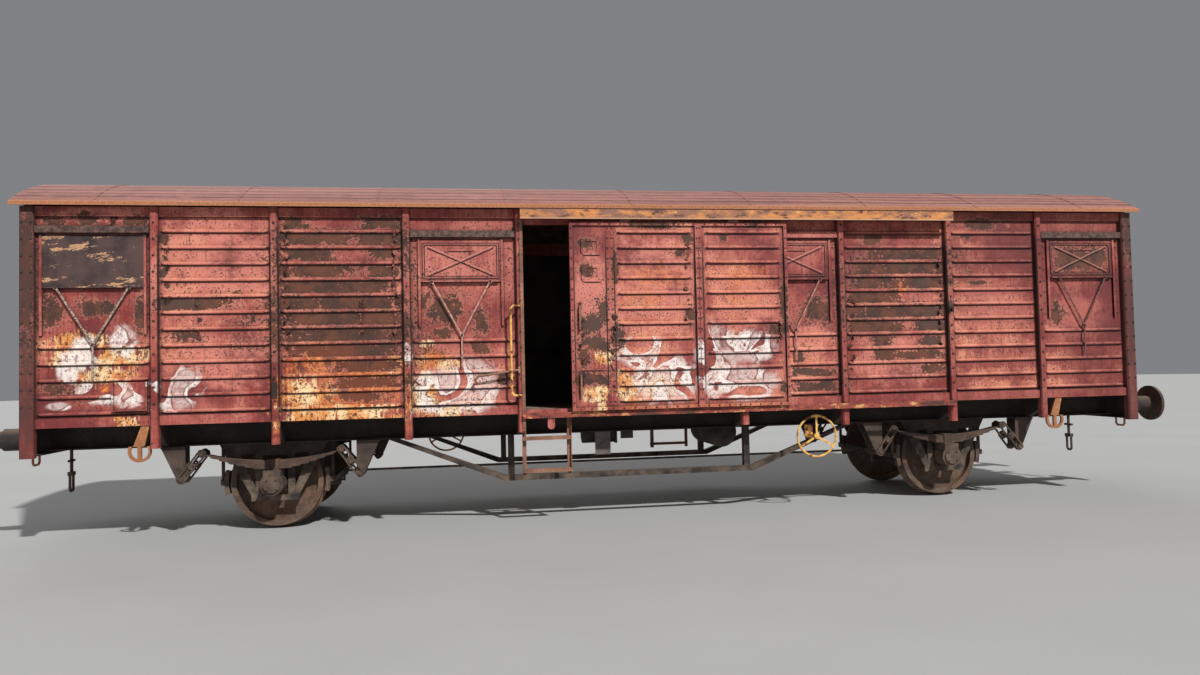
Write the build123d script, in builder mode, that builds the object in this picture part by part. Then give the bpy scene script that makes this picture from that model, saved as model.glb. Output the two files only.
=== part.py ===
from build123d import *
import os
from math import atan2, cos, degrees, hypot, radians, sin, sqrt

os.makedirs("parts", exist_ok=True)

# Two-axle covered goods wagon with ribbed steel sides, millimetres. X runs along the wagon, the
# near side is at -Y, and the origin is on the floor below the middle, under the wheel flanges.
# The far side is the near side turned half round about Z. Values named height are above the rail.

# Wheelsets
flange_height = 28
tread_radius = 500
wheelbase = 8000
wheel_gap = 1360
tyre_width = 135
tyre_thickness = 62
flange_width = 38
flange_round = 8
hub_radius = 140
hub_length = 180
hub_inset = 15
web_thickness = 26
web_set_hub = 60
web_set_rim = 44
wheel_seat_radius = 92
axle_radius = 80
journal_radius = 65
journal_spacing = 2000
journal_length = 200
bearing_clearance = 1

rail_top = flange_height
axle_height = rail_top + tread_radius
axle_places = {"left": -wheelbase / 2, "right": wheelbase / 2}
flange_radius = tread_radius + flange_height
journal_out = journal_spacing / 2

# Body shell
body_length = 12780
width_over_posts = 2760
loading_width = 2600
sheet_thickness = 20
end_sheet_inset = 10
post_stand = 30
sill_height = 1192
sill_depth = 98
floor_height = 1235
floor_thickness = 45
eave_height = 3480
cantrail_depth = 100
roof_rise = 450
roof_reach = 60
roof_edge_rise = 37
roof_thickness = 24
roof_overhang = 75
roof_lip = 12
seam_width = 36
seam_depth = 5
seam_spacing = 1420
hoop_width = 50
hoop_depth = 38

half_length = body_length / 2
post_out = width_over_posts / 2
wall_in = loading_width / 2
sheet_out = wall_in + sheet_thickness
sill_out = post_out - post_stand
roof_half_width = post_out + roof_reach
sill_bottom = rail_top + sill_height
panel_bottom = sill_bottom + sill_depth
floor_top = rail_top + floor_height
floor_bottom = floor_top - floor_thickness
eave = rail_top + eave_height
panel_top = eave - cantrail_depth
crest = eave + roof_rise
roof_drop = roof_rise - roof_edge_rise
roof_radius = (roof_half_width**2 + roof_drop**2) / (2 * roof_drop)
roof_centre = crest - roof_radius
under_roof = roof_radius - roof_thickness
end_inner = half_length - end_sheet_inset - sheet_thickness

# Side posts from the corner inwards: centre from the wagon's middle, width, height of the foot.
# The outermost stands over the outer ends of the spring hangers.
outer_post_offset = 1104
outer_post_place = wheelbase / 2 + outer_post_offset
post_table = [
    (outer_post_place, 80, 950),
    (3904, 80, 950),
    (2522, 80, 950),
    (1290, 80, 990),
]
corner_post_width = 135
corner_foot_height = 890
post_chamfer = 14
jamb_place, jamb_width, jamb_foot_height = post_table[-1]

# Bays of half a side, from the corner inwards, and all eight with their edges in X
bay_names = ["outer", "second", "third", "inner"]
bay_edges = [half_length - corner_post_width]
for centre, width, foot_height in post_table:
    bay_edges += [centre + width / 2, centre - width / 2]
half_bays = dict(zip(bay_names, zip(bay_edges[0::2], bay_edges[1::2])))
bays = {f"{name}_left": (-outer, -inner) for name, (outer, inner) in half_bays.items()}
bays.update({f"{name}_right": (inner, outer) for name, (outer, inner) in half_bays.items()})
door_half_opening = bay_edges[-1]

# Pressed ribs
rib_width = 50
rib_crest = 18
rib_depth = 20
rib_point = 40
rib_inset = 16
rib_margin = 12
rib_pitch = 172.5
rib_rise = 39
rib_head_room = 60
rib_low = panel_bottom + rib_rise

# Vent shutters: bay, gap at the bay's left edge, at its right edge, below the panel's top, height
shutter_table = [
    ("outer_left", 52, 51, 204, 542),
    ("inner_left", 95, 149, 246, 464),
    ("inner_right", 149, 95, 246, 464),
    ("outer_right", 101, 102, 246, 464),
]
plain_shutter = "outer_left"
shutter_gap = 6
shutter_thickness = 8
shutter_travel = 480
shutter_border = 22
shutter_border_inset = 22
shutter_corner = 45
shutter_bead = 26
shutter_bead_depth = 6
shutter_ledge = 12
vent_margin = 50
guide_wall = 6
guide_lip = 14
guide_clearance = 5
rain_rail_depth = 48
rain_rail_height = 70
rain_rail_rise = 30
rain_rail_end = 8
brace_width = 18
brace_apex_drop = 590
brace_rod_drop = 950
brace_spread = 0.7
brace_knob = 22

# Sliding door
door_width = 2545
door_lap = 18
door_sheet = 45
door_frame_depth = 65
door_gap = 15
door_rest_shift = 540
door_rib_rise = 103
door_rib_margin = 50
door_plain_width = 491
door_stile = 36
door_post_start = 1446
door_post_width = 77
door_stamp_width = 240
door_stamp_height = 208
door_stamp_pitch = 302
door_stamp_top = 160
door_stamp_left = 129
door_stamp_depth = 8
door_handle_heights = [(2112, 2382), (1376, 1613)]
door_handle_inset = 100
door_handle_reach = 45
door_handle_bar = 20

# Door rails
rail_left = -1280
rail_right = 3900
cover_gap = 18
cover_height = 112
cover_wall = 6
cover_room = 40
door_head_gap = 30
door_head_lap = 12
lower_rail_drop = 8
lower_rail_height = 60
lower_rail_wall = 10
lower_rail_set = 29
roller_radius = 45
roller_width = 22
roller_room = 16
roller_gap = 0.3
guide_rail_set = 30
guide_rail_wall = 8
guide_rail_drop = 55
shoe_length = 120
shoe_height = 95
shoe_clearance = 6

door_back = post_out + door_gap
door_front = door_back + door_frame_depth
cover_top = eave - cover_gap
cover_bottom = cover_top - cover_height
cover_out = door_front + cover_room
door_bottom = sill_bottom + door_lap
door_top = cover_bottom - door_head_gap
door_rib_low = door_bottom + door_rib_rise
door_opening_top = door_top - door_head_lap
lower_rail_top = door_bottom - lower_rail_drop
lower_rail_out = door_back + lower_rail_set
roller_out = lower_rail_out - lower_rail_wall / 2
guide_rail_out = door_back + guide_rail_set

# Door catch and jamb strips on the body
jamb_strip_width = 36
jamb_strip_thickness = 8
catch_height = 1683
catch_reach = 480
catch_fall = 65
catch_radius = 12
catch_bracket = 36

# Underframe
sole_bar_height = 250
sole_bar_web_in = 925
sole_bar_wall = 12
sole_bar_flange = 125
headstock_depth = 100
headstock_drop = 290
headstock_wall = 14
cross_height = 140
cross_width = 80
cross_wall = 10

sole_bar_bottom = floor_bottom - sole_bar_height
sole_bar_out = sole_bar_web_in + sole_bar_flange
cross_bottom = floor_bottom - cross_height

# End posts
end_post_place = 480
end_post_width = 110
end_post_depth = 60
end_post_foot_height = 930

# Springs, links and hangers
spring_half_span = 730
spring_width = 120
leaf_thickness = 13
leaf_count = 7
leaf_step = 88
spring_rise = 98
buckle_length = 130
buckle_wall = 12
axlebox_top = 150
axlebox_half_width = 90
axlebox_length = 240
axlebox_round = 122
axlebox_cap_radius = 92
axlebox_cap = 22
spring_eye_radius = 40
pin_radius = 26
pin_clearance = 1
pin_end = 8
link_pin_offset = 930
link_pin_height = 585
link_wall = 18
link_plate = 20
link_gap = 4
link_corner = 20
hanger_foot_radius = 48
hanger_inner = 38
hanger_top_length = 210

spring_seat = axle_height + axlebox_top + buckle_wall
spring_eye_height = spring_seat + leaf_count * leaf_thickness + spring_rise
link_pin_z = rail_top + link_pin_height
suspension_places = [(place, side) for place in axle_places.values() for side in (-1, 1)]
inner_plate_out = spring_width / 2 + link_gap
outer_plate_out = inner_plate_out + link_plate + link_gap

# Axle guards
guard_thickness = 14
guard_half_top = 560
guard_half_foot = 255
guard_half_slot = 135
guard_foot_height = 300
guard_slot_height = 800
guard_tie = 60
guard_leg = 75
guard_rim = 40

# Queen-post trusses
truss_top_place = 2664
truss_knee_place = 1480
truss_post_place = 1400
truss_height = 420
truss_depth = 62
truss_width = 80
truss_bar = 110
truss_post_width = 70

# Ladder below the door
ladder_left = -1290
ladder_right = -740
ladder_height = 510
ladder_angle = 45
ladder_wall = 6
ladder_tread_heights = [930, 572]
ladder_tread_depth = 70
ladder_tread_lip = 34

# Handrail beside the door
handrail_place = -1400
handrail_heights = (1400, 2390)
handrail_radius = 13
handrail_stand = 50
handrail_bend = 30

# Handbrake wheel
handwheel_place = 2180
handwheel_height = 820
handwheel_radius = 238
handwheel_rim = 13
handwheel_spoke = 22
handwheel_hub = 34
handwheel_shaft = 16
handwheel_plate = 50

# Rope hooks
rope_hook_gap = 156
rope_hook_height = 811
rope_hook_radius = 115
rope_hook_bar = 28
rope_hook_neck = 40
rope_hook_horn = 50

# Label trays
label_tray_gap = 32
label_tray_width = 344
label_tray_height = 1344
label_tray_rise = 304
label_tray_depth = 22
label_tray_rim = 14
label_tray_sheet = 6

# Buffers and draw gear
buffer_height = 1060
buffer_spacing = 1750
buffer_length = 620
buffer_head_radius = 225
buffer_head_thickness = 36
buffer_casing_radius = 118
buffer_casing_length = 360
buffer_casing_floor = 60
buffer_tube_radius = 92
buffer_tube_clearance = 2
buffer_plate_width = 340
buffer_plate_height = 280
buffer_plate_thickness = 20
hook_thickness = 44
hook_plate_width = 300
hook_plate_height = 180
hook_plate_thickness = 16
coupling_pin_place = 62
coupling_pin_radius = 20
coupling_strap = 14
coupling_strap_length = 170
coupling_screw_radius = 18
coupling_screw_length = 300
coupling_block = 44
coupling_bow_length = 200
coupling_bow_radius = 15
coupling_bow_half = 58

buffer_z = rail_top + buffer_height
headstock_bottom = floor_bottom - headstock_drop

# Small gear at the ends
cock_place = 330
cock_drop = 110
cock_radius = 24
cock_length = 90
cock_lever = 110
handle_place = 1120
handle_half_width = 70
handle_drop = 95
handle_radius = 12

# Brake gear
shoe_radius_gap = 20
shoe_half_angle = 14
shoe_thickness = 48
shoe_width = 80
shoe_inset = 10
brake_beam_width = 50
brake_beam_height = 60
brake_hanger_offset = 590
brake_hanger_height = 972
brake_hanger_bar = 30
brake_rod = 26
brake_rod_drop = 130
brake_rod_place = 180
brake_cylinder_radius = 165
brake_cylinder_length = 420
brake_cylinder_place = 300
brake_cylinder_plate = 20
brake_piston_radius = 22
reservoir_radius = 190
reservoir_length = 900
reservoir_saddle = 40
reservoir_saddle_place = 250
reservoir_cap = 45
changeover_place = -340
changeover_width = 180
changeover_drop = 260
changeover_thickness = 8
changeover_lever = 130

brake_beam_start = brake_hanger_offset - brake_hanger_bar / 2
brake_beam_end = brake_beam_start + brake_beam_width


def near(out):
    """Plane of the near side, drawn in X and Z, at this distance from the wagon's middle."""
    return Plane.XZ.offset(out)


def end_face(side, distance):
    """Plane across the wagon, facing outwards at the left (-1) or right (1) end."""
    return Plane(origin=(side * distance, 0, 0), x_dir=(0, side, 0), z_dir=(side, 0, 0))


def block(x_low, x_high, out_low, out_high, z_low, z_high, mode=Mode.ADD):
    """Box on the near side between two distances from the wagon's middle."""
    with Locations((x_low, -out_high, z_low)):
        Box(x_high - x_low, out_high - out_low, z_high - z_low, align=(Align.MIN,) * 3, mode=mode)


def rod_across(x, z, out_low, out_high, radius):
    """Round rod along Y on the near side."""
    with Locations(Location((x, -(out_low + out_high) / 2, z), (90, 0, 0))):
        Cylinder(radius, out_high - out_low)


def turned(part):
    """The same piece on the other side, half a turn about Z."""
    return part.rotate(Axis.Z, 180)


def save(part, name):
    part.label = name
    export_step(part, f"parts/{name}.step")


def both(part, name):
    """One node with the near piece and its turned twin."""
    save(Compound(children=[*[s.moved(Location()) for s in part.solids()], *turned(part).solids()]), name)


def pressed_rib(length, base=Plane.XZ):
    """One rib with pointed ends, between a flat hexagon on the sheet and a smaller one in front."""
    with BuildPart() as rib:
        for depth, half_width, reach in (
            (0, rib_width / 2, length / 2),
            (rib_depth, rib_crest / 2, length / 2 - rib_inset),
        ):
            shoulder = reach - rib_point
            with BuildSketch(base.offset(depth)):
                Polygon(
                    (-reach, 0), (-shoulder, -half_width), (shoulder, -half_width),
                    (reach, 0), (shoulder, half_width), (-shoulder, half_width), align=None,
                )
        loft(ruled=True)
    return rib.part


def rib_heights(low, high):
    """Heights of the ribs from a first one up to a limit."""
    heights = [low]
    while heights[-1] + rib_pitch <= high:
        heights.append(heights[-1] + rib_pitch)
    return heights


def shutter_box(name, left_gap, right_gap, drop, height):
    """Edges of a shutter in X and Z, from its bay."""
    x_low, x_high = bays[name]
    return x_low + left_gap, x_high - right_gap, panel_top - drop - height, panel_top - drop


def side_posts():
    with BuildPart() as posts:
        for side in (-1, 1):
            for centre, width, foot_height in post_table:
                x_low, x_high = side * centre - width / 2, side * centre + width / 2
                foot = rail_top + foot_height
                block(x_low, x_high, sill_out, post_out, foot, eave)
                block(x_low, x_high, wall_in, sill_out, foot, sill_bottom)
                back_low = sill_bottom if centre == jamb_place else panel_bottom
                block(x_low, x_high, wall_in, sill_out, back_low, panel_top)
            outer, inner = side * half_length, side * (half_length - corner_post_width)
            foot = rail_top + corner_foot_height
            block(min(outer, inner), max(outer, inner), wall_in, post_out, foot, eave)
        front = posts.faces().filter_by(Axis.Y).group_by(Axis.Y)[0]
        chamfer(front.edges().filter_by(Axis.Z), post_chamfer)
    return posts.part


def side_rails():
    """Sills left and right of the door, the threshold between, and the cantrail over all."""
    jamb = jamb_place + jamb_width / 2
    corner = half_length - corner_post_width
    with BuildPart() as rails:
        block(-corner, -jamb, wall_in, sill_out, sill_bottom, panel_bottom)
        block(jamb, corner, wall_in, sill_out, sill_bottom, panel_bottom)
        block(-door_half_opening, door_half_opening, wall_in, sill_out, sill_bottom, floor_top)
        block(-corner, corner, wall_in, sill_out, panel_top, eave)
        block(-door_half_opening, door_half_opening, wall_in, sill_out, door_opening_top, panel_top)
    return rails.part


def side_panels():
    """Ribbed sheets of the bays, with the vent openings cut."""
    shutters = {row[0]: shutter_box(*row) for row in shutter_table}
    with BuildPart() as panels:
        for name, (x_low, x_high) in bays.items():
            rib = pressed_rib(x_high - x_low - 2 * rib_margin)
            block(x_low, x_high, wall_in, sheet_out, panel_bottom, panel_top)
            limit = panel_top - rib_head_room
            if name in shutters:
                left, right, low, high = shutters[name]
                limit = low - shutter_travel - guide_clearance - guide_wall - rib_width
                block(
                    left + vent_margin, right - vent_margin, wall_in, sheet_out,
                    low + vent_margin, high - vent_margin, mode=Mode.SUBTRACT,
                )
            middle = (x_low + x_high) / 2
            with Locations(*[(middle, -sheet_out, height) for height in rib_heights(rib_low, limit)]):
                add(rib)
    return panels.part


def vent_guides():
    """Channels in which the shutters run, and the rain rail over each."""
    back = sheet_out + shutter_gap
    front = back + shutter_thickness + guide_clearance
    with BuildPart() as guides:
        for row in shutter_table:
            left, right, low, high = shutter_box(*row)
            foot = low - shutter_travel - guide_clearance
            for edge, side in ((left, -1), (right, 1)):
                wall = sorted((edge + side * guide_clearance, edge + side * (guide_clearance + guide_wall)))
                lip = sorted((edge - side * guide_lip, edge + side * (guide_clearance + guide_wall)))
                block(*wall, sheet_out, front, foot - guide_wall, high + guide_clearance)
                block(*lip, front, front + guide_wall, foot - guide_wall, high + guide_clearance)
                block(*lip, sheet_out, front, foot - guide_wall, foot)
            x_low, x_high = bays[row[0]]
            rail_low = high + rain_rail_rise
            block(
                x_low + rain_rail_end, x_high - rain_rail_end, sheet_out, sheet_out + rain_rail_depth,
                rail_low, rail_low + rain_rail_height,
            )
    return guides.part


def shutter(left, right, low, high, crossed):
    """Sliding plate with its bottom ledge and the V of bars that lifts it."""
    back = sheet_out + shutter_gap
    front = back + shutter_thickness
    middle = (left + right) / 2
    brace_out = sill_out + shutter_gap
    apex = low - brace_apex_drop
    reach = brace_spread * (right - left) / 2
    inset = guide_lip + shutter_border_inset
    width, height = right - left - 2 * inset, high - low - 2 * inset
    with BuildPart() as plate:
        block(left, right, back, front, low, high)
        block(left + inset, right - inset, front, brace_out + shutter_thickness, low, low + shutter_ledge)
        if crossed:
            inner_width, inner_height = width - 2 * shutter_border, height - 2 * shutter_border
            slope = degrees(atan2(inner_height, inner_width))
            arm = hypot(inner_width, inner_height) - 4 * shutter_border
            with BuildSketch(near(front)):
                with Locations((middle, (low + high) / 2)):
                    RectangleRounded(width, height, shutter_corner)
                    RectangleRounded(
                        inner_width, inner_height, shutter_corner - shutter_border, mode=Mode.SUBTRACT,
                    )
                    Rectangle(arm, shutter_bead, rotation=slope)
                    Rectangle(arm, shutter_bead, rotation=-slope)
                    with Locations((0, inner_height / 2 - 2 * shutter_bead)):
                        Rectangle(inner_width / 3, shutter_bead)
            extrude(amount=shutter_bead_depth)
        with BuildSketch(near(brace_out)):
            for side in (-1, 1):
                with BuildLine():
                    Polyline((middle + side * reach, low + shutter_ledge / 2), (middle, apex))
                    offset(amount=brace_width / 2, kind=Kind.INTERSECTION)
                make_face()
                with Locations((middle + side * reach, low)):
                    Circle(brace_knob)
            with Locations((middle, low - brace_rod_drop)):
                Rectangle(
                    brace_width, brace_rod_drop - brace_apex_drop + brace_width,
                    align=(Align.CENTER, Align.MIN),
                )
            with Locations((middle, apex)):
                Circle(brace_knob)
        extrude(amount=shutter_thickness)
    return plate.part


def end_wall(side):
    """Ribbed end sheet up to the roof."""
    face = end_face(side, end_inner)
    shoulder = roof_centre + sqrt(under_roof**2 - wall_in**2)
    span = end_post_place - end_post_width / 2
    fields = [(-wall_in, -span - end_post_width), (-span, span), (span + end_post_width, wall_in)]
    rib_plane = Plane(origin=(0, 0, 0), x_dir=(0, side, 0), z_dir=(side, 0, 0))
    ribs = [pressed_rib(high - low - 2 * rib_margin, rib_plane) for low, high in fields]
    with BuildPart() as wall:
        with BuildSketch(face):
            with BuildLine():
                Polyline(
                    (-wall_in, shoulder), (-wall_in, floor_bottom),
                    (wall_in, floor_bottom), (wall_in, shoulder),
                )
                ThreePointArc((wall_in, shoulder), (0, roof_centre + under_roof), (-wall_in, shoulder))
            make_face()
        extrude(amount=sheet_thickness)
        outer = side * (end_inner + sheet_thickness)
        for rib, (low, high) in zip(ribs, fields):
            middle = side * (low + high) / 2
            with Locations(*[(outer, middle, z) for z in rib_heights(rib_low, panel_top - rib_head_room)]):
                add(rib)
    return wall.part


def end_posts():
    top_reach = end_post_place + end_post_width / 2
    top = roof_centre + sqrt(under_roof**2 - top_reach**2)
    foot = rail_top + end_post_foot_height
    with BuildPart() as posts:
        for side in (-1, 1):
            for place in (-end_post_place, end_post_place):
                low, high = place - end_post_width / 2, place + end_post_width / 2
                x_low, x_high = sorted((side * half_length, side * (half_length + end_post_depth)))
                block(x_low, x_high, low, high, foot, top)
                x_low, x_high = sorted((side * (end_inner + sheet_thickness), side * half_length))
                block(x_low, x_high, low, high, floor_bottom, top)
    return posts.part


def roof():
    """Arched sheet with a turned-down edge on each side and raised seams across."""
    half = half_length + roof_overhang
    edge_top = crest - roof_drop
    lip_in = roof_half_width - roof_lip
    lip_top = roof_centre + sqrt(under_roof**2 - lip_in**2)
    seam_top = roof_centre + sqrt((roof_radius + seam_depth) ** 2 - roof_half_width**2)
    seam_count = int(half_length // seam_spacing)
    with BuildPart() as shell:
        with BuildSketch(Plane.YZ.offset(-half)):
            with BuildLine():
                ThreePointArc((-roof_half_width, edge_top), (0, crest), (roof_half_width, edge_top))
                Polyline(
                    (roof_half_width, edge_top), (roof_half_width, eave), (lip_in, eave), (lip_in, lip_top),
                )
                ThreePointArc((lip_in, lip_top), (0, roof_centre + under_roof), (-lip_in, lip_top))
                Polyline(
                    (-lip_in, lip_top), (-lip_in, eave), (-roof_half_width, eave),
                    (-roof_half_width, edge_top),
                )
            make_face()
        extrude(amount=2 * half)
        for place in range(-seam_count, seam_count + 1):
            with BuildSketch(Plane.YZ.offset(place * seam_spacing - seam_width / 2)):
                with BuildLine():
                    ThreePointArc((-roof_half_width, edge_top), (0, crest), (roof_half_width, edge_top))
                    Line((roof_half_width, edge_top), (roof_half_width, seam_top))
                    ThreePointArc(
                        (roof_half_width, seam_top), (0, crest + seam_depth), (-roof_half_width, seam_top),
                    )
                    Line((-roof_half_width, seam_top), (-roof_half_width, edge_top))
                make_face()
            extrude(amount=seam_width)
    return shell.part


def roof_hoops():
    """Bent bars under the roof sheet, at each pair of posts and in the middle."""
    places = [side * centre for side in (-1, 1) for centre, width, foot_height in post_table] + [0]
    inner = under_roof - hoop_depth
    outer_foot = roof_centre + sqrt(under_roof**2 - wall_in**2)
    inner_foot = roof_centre + sqrt(inner**2 - wall_in**2)
    with BuildPart() as hoops:
        for place in places:
            with BuildSketch(Plane.YZ.offset(place - hoop_width / 2)):
                with BuildLine():
                    ThreePointArc(
                        (-wall_in, outer_foot), (0, roof_centre + under_roof), (wall_in, outer_foot),
                    )
                    Line((wall_in, outer_foot), (wall_in, inner_foot))
                    ThreePointArc((wall_in, inner_foot), (0, roof_centre + inner), (-wall_in, inner_foot))
                    Line((-wall_in, inner_foot), (-wall_in, outer_foot))
                make_face()
            extrude(amount=hoop_width)
    return hoops.part


def plank_floor():
    with BuildPart() as planks:
        block(-end_inner, end_inner, -wall_in, wall_in, floor_bottom, floor_top)
    return planks.part


def door(shift):
    """Door at a distance from closed, with two ribbed fields and the stamped left field."""
    left = -door_width / 2 + shift
    right = left + door_width
    sheet = door_back + door_sheet
    plain_right = left + door_plain_width
    post_left = left + door_post_start
    post_right = post_left + door_post_width
    fields = [(plain_right, post_left), (post_right, right - door_stile)]
    rib_parts = [pressed_rib(high - low - 2 * door_rib_margin) for low, high in fields]
    stamp_x = left + door_stamp_left + door_stamp_width / 2
    stamp_z = door_top - door_stamp_top - door_stamp_height / 2
    with BuildPart() as leaf:
        block(left, right, door_back, sheet, door_bottom, door_top)
        uprights = [(left, left + door_stile), (post_left, post_right), (right - door_stile, right)]
        for x_low, x_high in uprights:
            block(x_low, x_high, sheet, door_front, door_bottom, door_top)
        for z_low, z_high in ((door_bottom, door_bottom + door_stile), (door_top - door_stile, door_top)):
            block(left, right, sheet, door_front, z_low, z_high)
        heights = rib_heights(door_rib_low, door_top - door_stile - rib_width / 2)
        for rib, (low, high) in zip(rib_parts, fields):
            with Locations(*[((low + high) / 2, -sheet, height) for height in heights]):
                add(rib)
        with BuildSketch(near(sheet)):
            for row in range(2):
                with Locations((stamp_x, stamp_z - row * door_stamp_pitch)):
                    RectangleRounded(door_stamp_width, door_stamp_height, shutter_corner)
                    Rectangle(door_stamp_width / 2, door_stamp_height / 2, mode=Mode.SUBTRACT)
        extrude(amount=door_stamp_depth)
        for place in (left + door_width / 4, right - door_width / 4):
            block(
                place - shoe_length / 2, place + shoe_length / 2, roller_out - roller_room,
                roller_out + roller_room, door_bottom, door_bottom + 2 * roller_radius + roller_room,
                mode=Mode.SUBTRACT,
            )
    return leaf.part


def door_fittings(shift):
    """Handles, guide shoes and the bottom rollers of one door."""
    left = -door_width / 2 + shift
    right = left + door_width
    sheet = door_back + door_sheet
    bar = door_handle_bar
    place = left + door_handle_inset
    roller_height = lower_rail_top + roller_radius + roller_gap
    with BuildPart() as fittings:
        for low, high in door_handle_heights:
            block(
                place - bar / 2, place + bar / 2, sheet + door_handle_reach - bar,
                sheet + door_handle_reach, rail_top + low, rail_top + high,
            )
            for foot in (rail_top + low, rail_top + high - bar):
                block(
                    place - bar / 2, place + bar / 2, sheet, sheet + door_handle_reach - bar,
                    foot, foot + bar,
                )
        for place in (left + door_width / 4, right - door_width / 4):
            x_low, x_high = place - shoe_length / 2, place + shoe_length / 2
            for reach, radius in ((roller_width / 2, roller_radius), (roller_room, roller_radius / 4)):
                rod_across(place, roller_height, roller_out - reach, roller_out + reach, radius)
            block(x_low, x_high, door_back, door_front - cover_wall, door_top, door_top + shoe_height)
            block(
                x_low, x_high, guide_rail_out - shoe_clearance,
                guide_rail_out + guide_rail_wall + shoe_clearance,
                door_top + shoe_height / 2, door_top + shoe_height, mode=Mode.SUBTRACT,
            )
    return fittings.part


def lower_rail():
    low = lower_rail_top - lower_rail_height
    with BuildPart() as rail:
        block(rail_left, rail_right, post_out, lower_rail_out - lower_rail_wall, low, low + lower_rail_wall)
        block(rail_left, rail_right, lower_rail_out - lower_rail_wall, lower_rail_out, low, lower_rail_top)
    return rail.part


def track_cover():
    ceiling = cover_top - cover_wall
    with BuildPart() as cover:
        block(rail_left, rail_right, post_out, cover_out, ceiling, cover_top)
        block(rail_left, rail_right, cover_out - cover_wall, cover_out, cover_bottom, ceiling)
        block(
            rail_left, rail_right, guide_rail_out, guide_rail_out + guide_rail_wall,
            ceiling - guide_rail_drop, ceiling,
        )
    return cover.part


def jamb_strips():
    """Flat strips down both sides of the doorway, behind the door."""
    jamb = jamb_place - jamb_width / 2
    low, high = rail_top + jamb_foot_height + post_chamfer, cover_bottom
    with BuildPart() as strips:
        for inner, outer in ((-jamb, -jamb - jamb_strip_width), (jamb, jamb + jamb_strip_width)):
            x_low, x_high = sorted((inner, outer))
            block(x_low, x_high, post_out, post_out + jamb_strip_thickness, lower_rail_top, high)
        block(
            -jamb - jamb_strip_width, -jamb, post_out, post_out + jamb_strip_thickness,
            low, lower_rail_top - lower_rail_height,
        )
    return strips.part


def door_catch():
    """Hooked rod that swings on the jamb post, hanging across the bay beside it."""
    pivot_x, pivot_z = -jamb_place, rail_top + catch_height
    tip_x, tip_z = pivot_x - catch_reach, pivot_z - catch_fall
    out = post_out + jamb_strip_thickness + catch_radius
    with BuildPart() as catch:
        block(
            pivot_x - catch_bracket, pivot_x - catch_radius, post_out, out + catch_radius,
            pivot_z - catch_bracket, pivot_z + catch_bracket,
        )
        with BuildLine() as path:
            Polyline(
                (pivot_x - catch_radius, -out, pivot_z), (tip_x, -out, tip_z),
                (tip_x - 30, -out, tip_z - 45), (tip_x, -out, tip_z - 80),
            )
        with BuildSketch(Plane(origin=path.line @ 0, z_dir=path.line % 0)) as section:
            Circle(catch_radius)
        sweep(section.sketch, path=path.line, transition=Transition.RIGHT)
    return catch.part


def sole_bar():
    """Channel with its flanges outwards."""
    end = half_length - headstock_depth
    wall = sole_bar_wall
    with BuildPart() as bar:
        block(-end, end, sole_bar_web_in, sole_bar_out, sole_bar_bottom, floor_bottom)
        block(
            -end, end, sole_bar_web_in + wall, sole_bar_out, sole_bar_bottom + wall, floor_bottom - wall,
            mode=Mode.SUBTRACT,
        )
    return bar.part


def outriggers():
    """Tapered brackets that carry the side posts from the sole bar."""
    with BuildPart() as arms:
        for side in (-1, 1):
            for centre, width, foot_height in post_table:
                with BuildSketch(Plane.YZ.offset(side * centre - width / 2)):
                    Polygon(
                        (-sole_bar_out, sole_bar_bottom), (-sole_bar_out, floor_bottom),
                        (-wall_in, floor_bottom), (-wall_in, cross_bottom), align=None,
                    )
                extrude(amount=width)
    return arms.part


def cross_members():
    """Channels between the sole bars, one at each pair of posts and one in the middle."""
    places = [side * centre for side in (-1, 1) for centre, width, foot_height in post_table] + [0]
    half, wall = cross_width / 2, cross_wall
    with BuildPart() as members:
        for place in places:
            block(
                place - half, place + half, -sole_bar_web_in, sole_bar_web_in, cross_bottom, floor_bottom,
            )
            block(
                place - half + wall, place + half, -sole_bar_web_in, sole_bar_web_in,
                cross_bottom + wall, floor_bottom - wall, mode=Mode.SUBTRACT,
            )
    return members.part


def headstocks():
    wall = headstock_wall
    with BuildPart() as beams:
        for side in (-1, 1):
            x_low, x_high = sorted((side * (half_length - headstock_depth), side * half_length))
            block(x_low, x_high, -wall_in, wall_in, headstock_bottom, floor_bottom)
            x_low, x_high = sorted((side * (half_length - headstock_depth), side * (half_length - wall)))
            block(
                x_low, x_high, -wall_in, wall_in, headstock_bottom + wall, floor_bottom - wall,
                mode=Mode.SUBTRACT,
            )
    return beams.part


def axle(place):
    seat_in = wheel_gap / 2 - hub_inset
    seat_out = seat_in + hub_length
    end = journal_out + journal_length / 2
    journal_in = journal_out - journal_length / 2
    half = [
        (axle_radius, seat_in), (wheel_seat_radius, seat_in), (wheel_seat_radius, seat_out),
        (axle_radius, seat_out), (axle_radius, journal_in), (journal_radius, journal_in),
        (journal_radius, end), (0, end),
    ]
    centre = (place, 0, axle_height)
    with BuildPart() as shaft:
        with BuildSketch(Plane(origin=centre, x_dir=(1, 0, 0), z_dir=(0, 0, 1))):
            Polygon(*[(r, -y) for r, y in reversed(half)], *half, align=None)
        revolve(axis=Axis(centre, (0, 1, 0)))
    return shaft.part


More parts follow.
